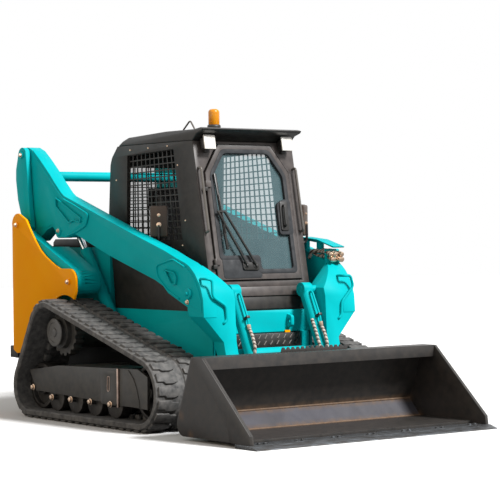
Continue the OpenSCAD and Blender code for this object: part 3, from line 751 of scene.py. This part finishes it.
def wheel_run(i):
    """The angle of the run after wheel i, and its length."""
    (x0, z0, r0), (x1, z1, r1) = WHEELS[i], WHEELS[(i + 1) % 3]
    gap = math.hypot(x1 - x0, z1 - z0)
    return math.atan2(z1 - z0, x1 - x0) - math.acos((r0 - r1) / gap), math.sqrt(gap ** 2 - (r0 - r1) ** 2)


RUNS = [wheel_run(i) for i in range(3)]
SPANS = [(RUNS[i][0] - RUNS[i - 1][0]) % (2 * math.pi) for i in range(3)]
LOOP = sum(WHEELS[i][2] * SPANS[i] + RUNS[i][1] for i in range(3))


def on_loop(s):
    """The outside of the loop at length s: its point and its outward angle."""
    s %= LOOP
    for i, (x, z, r) in enumerate(WHEELS):
        if s <= r * SPANS[i]:
            angle = RUNS[i - 1][0] + s / r
            return x + r * math.cos(angle), z + r * math.sin(angle), angle
        s -= r * SPANS[i]
        angle, length = RUNS[i]
        if s <= length:
            along = (-math.sin(angle), math.cos(angle))
            return x + r * math.cos(angle) + s * along[0], z + r * math.sin(angle) + s * along[1], angle
        s -= length
    return x, z, angle


def at_loop(s, y, depth, hand):
    """A point of the belt: length, distance from its inner edge, and depth below the blocks' tops."""
    x, z, angle = on_loop(s)
    return side(x - depth * math.cos(angle), z - depth * math.sin(angle), hand * (TRACK_INNER + y))


print("loop of the track in mm:", round(LOOP))

# %% Belts
CELLS = 5
STEPS = CELLS * BLOCKS
WINDOW_DEEP = 0.022
SECTION = ((8, BELT_DEEP), (0, 50), (0, 24), (12, 15), (168, 15), (175, 24), (225, 24), (232, 15), (388, 15),
           (TRACK_WIDE, 24), (TRACK_WIDE, 50), (392, BELT_DEEP))
GROOVE = (5, 6)


def belt(name, hand):
    """One belt: a ring pulled to the loop, and an extrusion that was meant for the groove's windows."""
    corners = len(SECTION)
    piece = fresh(name, bpy.ops.mesh.primitive_torus_add, major_segments=STEPS, minor_segments=corners)
    for i in range(STEPS):
        for j, (y, depth) in enumerate(SECTION):
            piece.data.vertices[i * corners + j].co = at_loop(i * LOOP / STEPS, y, depth, hand)
    edit()
    close_up()
    # known fault: edges and corners are still selected here, so more than the windows is extruded;
    # the right belt gets a second skin inside it, and the left one fins along its edges
    groove = {i * corners + j for i in range(STEPS) for j in GROOVE}
    for face in piece.data.polygons:
        cell = min(face.vertices) // corners % CELLS
        face.select = all(v in groove for v in face.vertices) and cell in (1, 2, 3)
    bpy.ops.object.mode_set(mode="EDIT")
    bpy.ops.mesh.select_mode(type="FACE")
    bpy.ops.mesh.extrude_region_shrink_fatten(TRANSFORM_OT_shrink_fatten={"value": -WINDOW_DEEP})
    bpy.ops.object.mode_set(mode="OBJECT")
    return soften(piece)


def block_place(s, y, depth, hand, mirror, outward=1):
    """Where a block sits on the loop: x along the belt, y across, z out of it."""
    angle = on_loop(s)[2]
    out = Vector((math.cos(angle), 0, math.sin(angle))) * outward
    across = Vector((0, hand * mirror, 0))
    at = at_loop(s, y, depth, hand)
    return Matrix.Translation(at) @ Matrix((across.cross(out), across, out)).transposed().to_4x4()


# block outline: along the loop, across from the row's outer edge
BLOCK = ((-36, 0), (20, 0), (22, 46), (37, 60), (37, 116), (24, 154), (-18, 154), (-22, 106), (-36, 92))
BLOCK_FOOT = BLOCK_HIGH + 5
ROW_OUTER, ROW_INNER = 388, 12
PITCH = LOOP / BLOCKS
block = plate("tread_block", flat(BLOCK), UP * (BLOCK_HIGH + 3.5) * MM, 4)
guide = plate("guide_lug", flat(box(-24, -25, 24, 25)), UP * 34 * MM, 6)
for word, hand in SIDES:
    settle(belt("track_belt_" + word, hand), track_rubber, "track_" + word)
    rows = [block_place(i * PITCH, ROW_OUTER, BLOCK_FOOT, hand, -1) for i in range(BLOCKS)]
    rows += [block_place((i + 0.5) * PITCH, ROW_INNER, BLOCK_FOOT, hand, 1) for i in range(BLOCKS)]
    settle(copies("track_tread_" + word, block, rows), track_rubber)
    lugs = [block_place((i + 0.5) * PITCH, TRACK_WIDE / 2, BELT_DEEP - 4, hand, 1, -1) for i in range(BLOCKS)]
    settle(copies("track_guides_" + word, guide, lugs), track_rubber)
drop(block, guide)
print("tread blocks:", 4 * BLOCKS)

# %% [markdown]
# ## The door's glass, gasket and handle
# The door is a pressed steel frame with a pane held in a rubber gasket. A dark kick panel fills its lower
# corner and the latch sits in a pocket by the pane's edge. The rings are flat frames between two outlines
# in the cab's leaning plane.

# %% Door pieces
DOOR_FACE = 15
PANE_FACE = DOOR_FACE - 17
GLASS = ((-302, 165), (0, 165), (0, 70), (302, 70), (302, 725), (190, 890), (-190, 890), (-302, 725))
KICK_PANEL = ((-296, 30), (14, 30), (14, 150), (-6, 176), (-296, 176))
POCKET = ((206, 318), (320, 318), (320, 560), (262, 560), (206, 530))
LATCH = ((216, 345), (282, 345), (290, 545), (226, 545))
settle(ring("door_gasket", in_front(rounded(inset(GLASS, -12), 34), PANE_FACE),
            in_front(rounded(inset(GLASS, 18), 26), PANE_FACE), outwards(21), 4), gasket_rubber, body="door")
for name, line, radius, face, thick, edge_mm, finish in (
        ("door_kick_panel", KICK_PANEL, 20, DOOR_FACE - 2, 5, 2, gasket_rubber),
        ("door_latch_pocket", POCKET, 22, PANE_FACE, 22, 4, gasket_rubber),
        ("door_latch_plate", LATCH, 14, DOOR_FACE + 4, 10, 4, black_plastic)):
    settle(plate(name, in_front(rounded(line, radius), face), outwards(thick), edge_mm), finish, body="door")
PULL = ((244, 372, 10), (240, 376, 34), (246, 512, 34), (250, 516, 10))
pull = rod("door_latch_pull", [front(y, z, DOOR_FACE + out) for y, z, out in PULL], 8, 18)
settle(pull, black_plastic, body="door")
print("door pieces: gasket, kick panel, latch")

# %% Wiper
# two parallel arms on one motor carry a long blade
PIVOTS = ((-36, 108), (-112, 112))
JOINTS = ((-246, 470), (-300, 474))
PIVOT = ((0, 0), (22, 0), (20, 16), (9, 20), (9, 30), (0, 32))
MOTOR = ((-140, 84), (-10, 80), (-10, 132), (-140, 138))
BLADE = ((-293, 730), (-275, 730), (-243, 220), (-261, 220))
BLADE_FRAME = ((-281, 590), (-273, 590), (-254, 330), (-263, 330))
ARM_LEVEL = DOOR_FACE + 26
arms = [rod(f"wiper_arm_{k}", [front(*foot, DOOR_FACE + 22), front(*joint, ARM_LEVEL)], 8.5)
        for k, (foot, joint) in enumerate(zip(PIVOTS, JOINTS))]
arms.append(rod("wiper_bridge", in_front(((-240, 470), (-306, 474)), ARM_LEVEL), 6))
arms += [turned(f"wiper_pivot_{k}", PIVOT, front(*foot, DOOR_FACE), outwards(1000), 24)
         for k, foot in enumerate(PIVOTS)]
arms.append(plate("wiper_motor", in_front(rounded(MOTOR, 16), DOOR_FACE), outwards(14), 3))
arms.append(plate("wiper_blade", in_front(BLADE, DOOR_FACE + 8), outwards(14), 3))
arms.append(plate("wiper_blade_frame", in_front(BLADE_FRAME, DOOR_FACE + 20), outwards(9), 2))
settle(joined("wiper_set", arms), roof_black, "wiper", body="door")
print("wiper pieces:", len(arms))

# %% [markdown]
# ## Cab front trim, lamps and beacon
# The cab's front posts are faced with a warm grey pressing that frames the door and turns under it as a
# sill. Two square lamps hang under the visor, and an amber beacon stands on the roof. A spot of light shows
# only on rounded edges, so every housing gets a bevel.

# %% Front trim and sill
OPENING = ((-354, 8), (354, 8), (354, 746), (224, 938), (-224, 938), (-354, 746))
OUTER = ((-408, -26), (408, -26), (408, 700), (408, 955), (-408, 955), (-408, 700))
settle(ring("cab_front_trim", in_front(OUTER, 0), in_front(OPENING, 0), outwards(4), 1.5), frame_grey)
settle(plate("cab_sill", in_front(box(-340, -92, 340, -28), 0), outwards(20), 6), frame_grey)
settle(plate("cab_sill_lower", in_front(box(-352, -178, 352, -94), 0), outwards(9), 4), cab_black)
print("front trim, sill")

# %% Work lamps
LAMP_LOW = 892
housings, lenses = [], []
for hand in (-1, 1):
    for group, name, corners, face, thick, edge_mm in (
            (housings, "lamp_box", (272, 0, 366, 74), 22, 44, 7),
            (housings, "lamp_bracket", (300, -16, 336, 50), 2, 24, 3),
            (lenses, "lamp_lens", (274, -6, 364, 90), 62, 12, 5)):
        line = [(y * hand, LAMP_LOW + z) for y, z in box(*corners)]
        group.append(plate(name, in_front(line, face), outwards(thick), edge_mm))
settle(joined("work_lamp_housing", housings), black_plastic, "work_lamps")
settle(joined("work_lamp_lens", lenses), lamp_lens)
print("work lamps:", len(lenses))

# %% Beacon
BEACON_AT = side(200, 1955, -106)
DOME = [(0, 44), (36, 44), (38, 48), (38, 122)]
DOME += [(14 + 24 * math.cos(a), 128 + 24 * math.sin(a)) for a in (math.radians(15 * k) for k in range(7))]
DOME += [(0, 152)]
FOOT = ((0, 0), (40, 0), (38, 8), (33, 12), (33, 22), (45, 24), (46, 32), (44, 42), (39, 46), (0, 46))
settle(turned("beacon_lens", DOME, BEACON_AT, UP, 48), amber_lens, "beacon")
settle(turned("beacon_foot", FOOT, BEACON_AT, UP, 48), black_plastic)
print("beacon on the roof")

# %% Grab rails
# 18 mm rod bent at both ends and welded to the posts
RAIL = ((342, 0), (342, 38), (773, 38), (773, 0))
RAIL_Y = 390
for word, hand in SIDES:
    rail = rod("grab_rail_" + word, [front(RAIL_Y * hand, z, out) for z, out in RAIL], 9, 34, 4)
    settle(rail, satin_rod, *(("grab_rails",) if hand < 0 else ()))
print("grab rails: 2")

# %% [markdown]
# ## Bolts, pins and hubs
# Every pivot pin is held by a bolted cap, and the rollers hang on bolts whose plating shines on the dark
# track frame. One bolt is modelled as a chamfered hexagon on a washer and copied to each place.

# %% Bolts
head = fresh("bolt_head", bpy.ops.mesh.primitive_cylinder_add, vertices=6, radius=1, depth=0.8,
             location=(0, 0, 0.55))
bpy.ops.object.transform_apply(location=True, rotation=True, scale=True)
use_modifier(head, "BEVEL", width=0.12, segments=2, limit_method="ANGLE", angle_limit=math.radians(50))
washer = turned("bolt_washer", ((0, 0), (1300, 0), (1300, 140), (1220, 200), (0, 200)), ORIGIN, UP, 20)
bolt = soften(joined("bolt_model", (washer, head)))
rivet = turned("rivet_model", ((0, 0), (1000, 0), (900, 300), (500, 560), (0, 640)), ORIGIN, UP, 12)


def sized(mm, place):
    """A model of unit size brought to a size in millimetres and put in its place."""
    return place @ Matrix.Scale(mm * MM, 4)


def side_bolts(mm, places, y):
    """Bolts on both sides at places of the side view, y millimetres out from the middle plane."""
    return [sized(mm, facing(side(x, z, y * hand), Vector((0, hand, 0)), 0.3))
            for hand in (-1, 1) for x, z in places]


ROLLER_BOLTS = ((-944, 209), (-685, 154), (-435, 154), (-185, 154), (65, 154))
for name, mm, places, y, finish, body in (
        ("roller_bolts", 17, ROLLER_BOLTS, 868, zinc, "machine"),
        ("pin_bolts_rear_plates", 13, (PIN["A"], PIN["B"]), 764, zinc, "machine"),
        ("pin_bolts_links", 13, (PIN["C"],), 677, zinc, "rear_link_pair"),
        ("pin_bolts_arms", 12, (PIN["L"], (622, 830)), 628, zinc, "arm"),
        ("pin_bolts_knees", 12, ((640, 885),), 642, turquoise, "arm")):
    settle(copies(name, bolt, side_bolts(mm, places, y)), finish, body=body)
CAB_WALL = 410
RIVETS = ((-375, 1847), (-149, 1852), (85, 1856), (205, 1724), (-554, 1645), (290, 1355), (255, 1190),
          (-480, 1300))
rivets = [sized(7, facing(side(x, z, CAB_WALL * hand), Vector((0, hand, 0))))
          for x, z in RIVETS for hand in (-1, 1)]
settle(copies("cab_rivets", rivet, rivets), zinc)
GATE_FACE = -1472
gate_bolts = [sized(11, facing(side(GATE_FACE, z, y), -AHEAD)) for y in (-540, 540) for z in (520, 830, 1140)]
settle(copies("tailgate_bolts", bolt, gate_bolts), zinc, body="tailgate_door")
print("bolts and rivets placed")

# %% Hub caps and track frame covers
HUB = ((0, 0), (96, 0), (98, 5), (94, 10), (70, 12), (66, 7), (34, 8), (30, 14), (16, 16), (0, 16))
HUB_FACE = 830
COVER_FACE = 862
PANEL = rounded([(-58, 152), (140, 148), (140, 372), (-58, 380)], 26)
SLOT = rounded([(24, 236), (54, 236), (58, 338), (28, 338)], 14)
RIB = box(156, 139, 174, 394)
GUARD = ((180, 152), (416, 152), (405, 205), (382, 272), (345, 336), (284, 390), (180, 388))
hubs = [turned("hub_" + word, HUB, side(*DRIVE, HUB_FACE * hand), Vector((0, hand, 0)), 48)
        for word, hand in SIDES]
settle(joined("hub_caps", hubs), hub_grey)
for word, hand in SIDES:
    push = sideways(hand * 4)
    wall, root = COVER_FACE * hand, (COVER_FACE - 1) * hand
    settle(ring("track_cover_panel_" + word, on_side(PANEL, wall), on_side(SLOT, wall), push, 1), under_black)
    settle(plate("track_cover_rib_" + word, on_side(RIB, root), push * 4, 3), worn_rib)
    settle(ring("track_slot_liner_" + word, on_side(SLOT, wall), on_side(inset(SLOT, 5), wall), push * 1.5, 1),
           worn_rib)
    settle(plate("track_guard_plate_" + word, on_side(GUARD, root), push * 1.5, 2), under_black)
print("hub caps, cover panels and ribs")

# %% [markdown]
# ## Lift arm dress
# Bent rods welded to the knees are steps for the driver's hands. The tilt cylinders carry a hard pipe and
# sleeved hoses, and more hoses cross the left arm under a cover. Both ends of each hose are fixed, so each
# one rides on what holds it.

# %% Knee rods
RODS = {"right": ((-598, 980), (-559, 973), (-553, 865), (-452, 805), (-445, 715), (-470, 694)),
        "left": ((520, 978), (575, 980), (600, 906), (500, 805), (495, 715), (473, 694))}
KNEE_FACE = 800
for word, line in RODS.items():
    (y0, z0), (y1, z1) = line[0], line[-1]
    path = [side(KNEE_FACE - 70, z0, y0), *(side(KNEE_FACE, z, y) for y, z in line),
            side(KNEE_FACE - 40, z1, y1)]
    settle(rod("knee_rod_" + word, path, 9, 24, 4), turquoise, body="arm")
print("knee rods:", len(RODS))

# %% Edges of the arm plates
# each opening in the plates welded on the arms has a rolled rim, and a bead runs round the plate's end
OPENINGS = (rounded([(-1012, 1540), (-665, 1388), (-680, 1350), (-767, 1369), (-830, 1350), (-952, 1433),
                     (-1012, 1470)], 12),
            rounded([(362, 1040), (480, 1022), (510, 990), (500, 940), (445, 938)], 14))
PLATE_ENDS = (((-914, 1522), (-765, 1476), (-580, 1410), (-612, 1335), (-752, 1288), (-880, 1262)),
              ((589, 1056), (454, 1105), (262, 1062), (281, 985), (400, 900), (527, 850)))
ARM_FACE = 625
for word, hand in SIDES:
    level = hand * (ARM_FACE + 3)
    edges = [ring(f"rim_{k}", on_side(inset(line, -9), level), on_side(line, level), sideways(hand * 10), 3)
             for k, line in enumerate(OPENINGS)]
    edges += [rod(f"bead_{k}", on_side(line, hand * (ARM_FACE + 2)), 6) for k, line in enumerate(PLATE_ENDS)]
    settle(joined("arm_plate_edges_" + word, edges), turquoise, body="arm")
print("arm plate edges: 2")

# %% Pipes and hoses of the tilt cylinders
TILT_Y = 295
T, E = Vector(PIN["T"]), Vector(PIN["E"])
DOWN = (E - T).normalized()
OFF = Vector((-DOWN.y, DOWN.x))
PIPE = ((40, 20), (40, 68), (225, 72), (270, 60))
CLAMP = ((205, 36), (205, 84), (222, 84), (222, 36))
NUT = ((0, 0), (13, 0), (13, 26), (10, 30), (0, 30))
HOSE = ((285, 57), (340, 66), (420, 62), (455, 36))
SECOND_HOSE = ((230, 30, -40), (300, 40, -46), (420, 34, -44), (450, 20, -34))


def by_barrel(along, off, y):
    """A point beside the tilt cylinder: along it, off its axis in the side view, y from the middle plane."""
    spot = T + DOWN * along + OFF * off
    return side(spot.x, spot.y, y)


for word, hand in SIDES:
    y = TILT_Y * hand
    nut_at = by_barrel(262, 62, y)
    for piece, finish in (
            (rod("tilt_pipe_" + word, [by_barrel(*spot, y) for spot in PIPE], 7, 26), turquoise),
            (plate("tilt_clamp_" + word, [by_barrel(*spot, y - 12) for spot in CLAMP], sideways(24), 3),
             black_plastic),
            (turned("tilt_nut_" + word, NUT, nut_at, by_barrel(300, 54, y) - nut_at, 6), zinc),
            (rod("tilt_hose_" + word, [by_barrel(*spot, y) for spot in HOSE], 11, 40), sleeve)):
        settle(piece, finish, body="tilt_barrel_pair")
second = rod("tilt_hose_second", [by_barrel(along, off, TILT_Y + y) for along, off, y in SECOND_HOSE], 11, 40)
settle(second, sleeve, body="tilt_barrel_pair")
print("tilt cylinder pipes and hoses")

# %% Hose bundle on the left arm
# the hoses run out under the cover and end in screw couplings, which a bracket holds
HOSES = 8
COUPLING = ((0, 0), (15, 0), (17, 4), (17, 18), (14, 20), (14, 26), (18, 28), (18, 42), (12, 46), (0, 46))
BRACKET = ((606, 1020), (624, 1012), (624, 1152), (606, 1158))
bundle, ends = [], []
for k in range(HOSES):
    row, place = divmod(k, 4)
    y = 520 + 27 * place + 12 * row
    z = 1140 - 34 * row
    sway = 12 * math.sin(2.3 * k)
    bundle.append(rod(f"arm_hose_{k}", [side(430, 1092, y), side(456, z + 6, y), side(560, z + sway, y + 6),
                                        side(600, z - 4, y), side(640 + sway, z - 12, y)], 13, 36))
    ends.append(facing(side(632 + sway, z - 10, y), Vector((0.85, -0.1 + 0.05 * place, -0.3))))
coupling = turned("coupling_model", COUPLING, ORIGIN, UP, 12)
settle(plate("arm_hose_bracket", on_side(BRACKET, 508), sideways(118), 4), turquoise, body="arm")
settle(joined("arm_hose_bundle", bundle), sleeve, body="arm")
settle(copies("arm_hose_couplings", coupling, ends), zinc, body="arm")
drop(coupling)
print("hoses under the cover:", len(bundle))

# %% [markdown]
# ## Bucket dress
# The cutting edge is bolted on in pairs, and weld beads run along both creases of the bent plate, where
# soil has rubbed the paint brown. The beads are thin rods laid in the creases.

# %% Bucket bolts and beads
EDGE_X, EDGE_TOP = 1690, 25
WELDS = ((995, 151), (1097, 42))
WELD_HALF = 922
LIP_X, LIP_TOP = 1178, 514
LIP_SLOT = rounded(box(-9, -22, 9, 22), 8)
pairs = [sized(11, facing(side(EDGE_X, EDGE_TOP, y + d), UP))
         for y in range(-840, 841, 280) for d in (-24, 24)]
settle(copies("edge_bolts", bolt, pairs), edge_steel, body="bucket_body")
beads = [rod(f"weld_{k}", [side(*weld, -WELD_HALF), side(*weld, WELD_HALF)], 7)
         for k, weld in enumerate(WELDS)]
settle(joined("bucket_weld_beads", beads), weld_brown, body="bucket_body")
slots = [plate(f"lip_slot_{k}", [side(LIP_X, LIP_TOP, y) + corner for corner in flat(LIP_SLOT)],
               UP * 3 * MM, 0.5)
         for k, y in enumerate(range(-170, 271, 73))]
settle(joined("bucket_lip_slots", slots), gasket_rubber, body="bucket_body")
print("edge bolts:", len(pairs), "lip slots:", len(slots))

# %% [markdown]
# ## Step plate and small pieces on the front
# The step under the door is tread plate: short raised bars at an angle, pressed in rows, so that a boot
# grips. One bar is modelled and copied over the step's two faces.

# %% Step tread
FACES = (((625, 430), (650, 520)), ((650, 520), (634, 606)))
BAR_SLANT = Matrix.Rotation(math.radians(48), 4, "Z")
LEFT = Vector((0, 1, 0))
bar = plate("tread_bar", flat(rounded(box(-19, -4, 19, 4), 4)), UP * 6 * MM, 1.5)
bars = []
for (x0, z0), (x1, z1) in FACES:
    outward = Vector((z1 - z0, 0, x0 - x1)).normalized()
    turn = Matrix((LEFT, outward.cross(LEFT), outward)).transposed().to_4x4()
    for row, t in enumerate((0.27, 0.73)):
        for k in range(10):
            at = side(x0 + (x1 - x0) * t, z0 + (z1 - z0) * t, -236 + 52 * k + 13 * row) - outward * 2 * MM
            bars.append(Matrix.Translation(at) @ turn @ BAR_SLANT)
settle(copies("step_tread", bar, bars), step_steel)
drop(bar)
MARKER_FACE = 612
marker = [side(MARKER_FACE, z, y) for y, z in box(157, 601, 199, 622)]
settle(plate("front_marker", marker, AHEAD * 0.012, 2), yellow)
print("tread bars:", len(bars))

# %% Roof hook
HOOK = ((110, 1948), (120, 1966), (190, 2018), (206, 2018), (250, 1966), (256, 1948))
settle(rod("roof_hook", on_side(HOOK, -300), 6, 14), satin_rod)
print("roof hook: 1")

# %% Mirrors
# each mirror is turned towards the driver, so its shell stands askew between cab and arm
MIRROR = rounded(box(-62, 1245, 62, 1460), 20)
MIRROR_Y = 465
ASKEW, STRAIGHT = 0.62, 0.78


def on_mirror(place, line, out):
    """Points of a mirror's face, out of its middle plane towards the front."""
    middle, along, ahead = place
    return [middle + along * u * MM + ahead * out * MM + UP * z * MM for u, z in line]


shells, rims, stems, panes, knobs = [], [], [], [], []
for hand, x in ((-1, 60), (1, 440)):
    ahead = Vector((STRAIGHT, ASKEW * hand, 0))
    place = (side(x, 0, hand * MIRROR_Y), Vector((-ASKEW * hand, STRAIGHT, 0)), ahead)
    shells.append(plate("shell", on_mirror(place, inset(MIRROR, 3), -8), ahead * 0.024, 9))
    rims.append(ring("rim", on_mirror(place, MIRROR, -12), on_mirror(place, inset(MIRROR, 9), -12),
                     ahead * 0.012, 3))
    panes.append(plate("pane", on_mirror(place, inset(MIRROR, 8), -8), ahead * -0.003, 1))
    knobs += [sized(mm, facing(on_mirror(place, [(0, z)], 15)[0], ahead)) for mm, z in ((9, 1395), (13, 1330))]
    stems.append(rod("stem", [side(x, 1200, hand * 408), side(x, 1200, hand * 474),
                              *on_mirror(place, [(0, 1236)], 22), *on_mirror(place, [(0, 1330)], 20)], 9, 24))
settle(joined("mirror_shells", shells), brown_plastic, "mirrors")
settle(joined("mirror_rims", rims), black_plastic)
settle(joined("mirror_stems", stems), black_plastic)
settle(joined("mirror_glass", panes), chrome)
settle(copies("mirror_bolts", bolt, knobs), zinc)
drop(bolt, rivet)
print("mirrors:", len(shells))

# %% Guard of the rear window
GUARD_X = -602
WIRE_MM = 3.5
wires = [[side(GUARD_X, 1245, y), side(GUARD_X, 1745, y)] for y in range(-280, 281, 56)]
wires += [[side(GUARD_X, z, -305), side(GUARD_X, z, 305)] for z in range(1270, 1741, 47)]
guard = joined("rear_window_guard", [rod(f"wire_{k}", wire, WIRE_MM, 0, 1) for k, wire in enumerate(wires)])
settle(guard, cab_black)
print("guard bars:", len(wires))

# %% [markdown]
# ## The driver's seat
# The seat has two foam cushions in black vinyl on a steel pan. Foam in a cover is a crowned form whose
# sides pull in, so each cushion starts as a slightly small block, is remeshed into small cells, and is
# blown up a little by the cloth solver. Sewn channels are drawn in afterwards.

# %% Cushions
CELL = 0.006
PRESSURE = 4
PUFF_FRAMES = 20
MOST_PUFF = 0.024
SEAM_APART = 0.07
SEAM_HALF = 0.008
SEAM_DEEP = 0.007


def across_side(name, corners, wide_mm, edge_mm):
    """A plate of the side view that lies evenly across the middle plane."""
    return plate(name, on_side(corners, -wide_mm / 2), sideways(wide_mm), edge_mm)


def cushion(name, corners, wide_mm, edge_mm):
    """A cushion: a plate with rounded edges in the side view, puffed by the cloth solver and sewn."""
    piece = across_side(name, corners, wide_mm, edge_mm)
    use_modifier(piece, "REMESH", mode="VOXEL", voxel_size=CELL)
    start = [v.co.copy() for v in piece.data.vertices]
    cloth = piece.modifiers.new("cover", "CLOTH")
    cloth.settings.use_pressure = True
    cloth.settings.uniform_pressure_force = PRESSURE
    cloth.settings.effector_weights.gravity = 0
    for number in range(1, PUFF_FRAMES + 1):
        scene.frame_set(number)
    only(piece)
    bpy.ops.object.modifier_apply(modifier=cloth.name)
    scene.frame_set(1)
    for vertex, before in zip(piece.data.vertices, start):
        moved = vertex.co - before
        if moved.length > MOST_PUFF:
            vertex.co = before + moved * (MOST_PUFF / moved.length)
    use_modifier(piece, "SMOOTH", factor=0.5, iterations=4)
    # sewn channels: the cover is drawn in along lines from front to back
    normals = [v.normal.copy() for v in piece.data.vertices]
    for vertex, normal in zip(piece.data.vertices, normals):
        off = abs((vertex.co.y / SEAM_APART + 0.5) % 1 - 0.5) * SEAM_APART
        vertex.co -= normal * SEAM_DEEP * math.exp(-(off / SEAM_HALF) ** 2)
    use_modifier(piece, "SUBSURF", levels=1, render_levels=1)
    only(piece)
    bpy.ops.object.shade_smooth()
    return piece


SEAT = (("seat_base", ((-330, 790), (20, 790), (0, 950), (-310, 950)), 320, 8),
        ("seat_pan", ((-400, 948), (70, 948), (88, 972), (-400, 972)), 444, 6),
        ("seat_back_shell", ((-402, 972), (-382, 972), (-452, 1590), (-474, 1590)), 410, 8))
settle(joined("seat_frame", [across_side(*piece) for piece in SEAT]), black_plastic, "seat")
seat_pad = cushion("seat_cushion", ((-352, 982), (66, 982), (76, 1040), (-344, 1040)), 420, 22)
back_pad = cushion("seat_back_cushion", ((-372, 1052), (-306, 1062), (-374, 1570), (-440, 1570)), 400, 22)
for pad in (seat_pad, back_pad):
    settle(pad, vinyl)
print("cushion faces:", len(seat_pad.data.polygons), len(back_pad.data.polygons))

# %% Lever boots and grips
# a rubber bellows hides each lever's foot, and a moulded grip fills the hand
LEVER_X, LEVER_Y = 90, 300
FOLDS = [(44 - 5 * k + (6 if k % 2 else 0), 6 + 9 * k) for k in range(6)]
BOOT = [(0, 0), (46, 0), *FOLDS, (14, 62), (0, 62)]
GRIP = ((0, 96), (18, 96), (22, 104), (20, 140), (25, 176), (27, 204), (20, 218), (0, 221))
for word, hand in SIDES:
    settle(turned("lever_boot_" + word, BOOT, side(LEVER_X, 1122, LEVER_Y * hand), UP, 28), hose_rubber)
    settle(turned("lever_grip_" + word, GRIP, side(LEVER_X, 1104, LEVER_Y * hand), UP, 28), black_plastic)
print("levers: 2")

# %% [markdown]
# ## The rear
# The tailgate is pressed plate with a pull handle, and each lamp is a red lens in a black rim. These pieces
# can't be seen in the picture, so they follow what such machines have.

# %% Tailgate handle and lamp rims
HANDLE = ((-1466, 870), (-1508, 870), (-1508, 760), (-1466, 760))
LAMP_FACE = -1438
LAMP = box(610, 1020, 700, 1120)
settle(rod("tailgate_handle", on_side(HANDLE, -500), 9, 26, 4), satin_rod, body="tailgate_door")
for word, hand in SIDES:
    far, near = ([side(LAMP_FACE, z, hand * y) for y, z in inset(LAMP, by)] for by in (-8, 5))
    settle(ring("tail_lamp_rim_" + word, far, near, AHEAD * -0.014, 3), black_plastic)
print("tailgate handle, lamp rims")
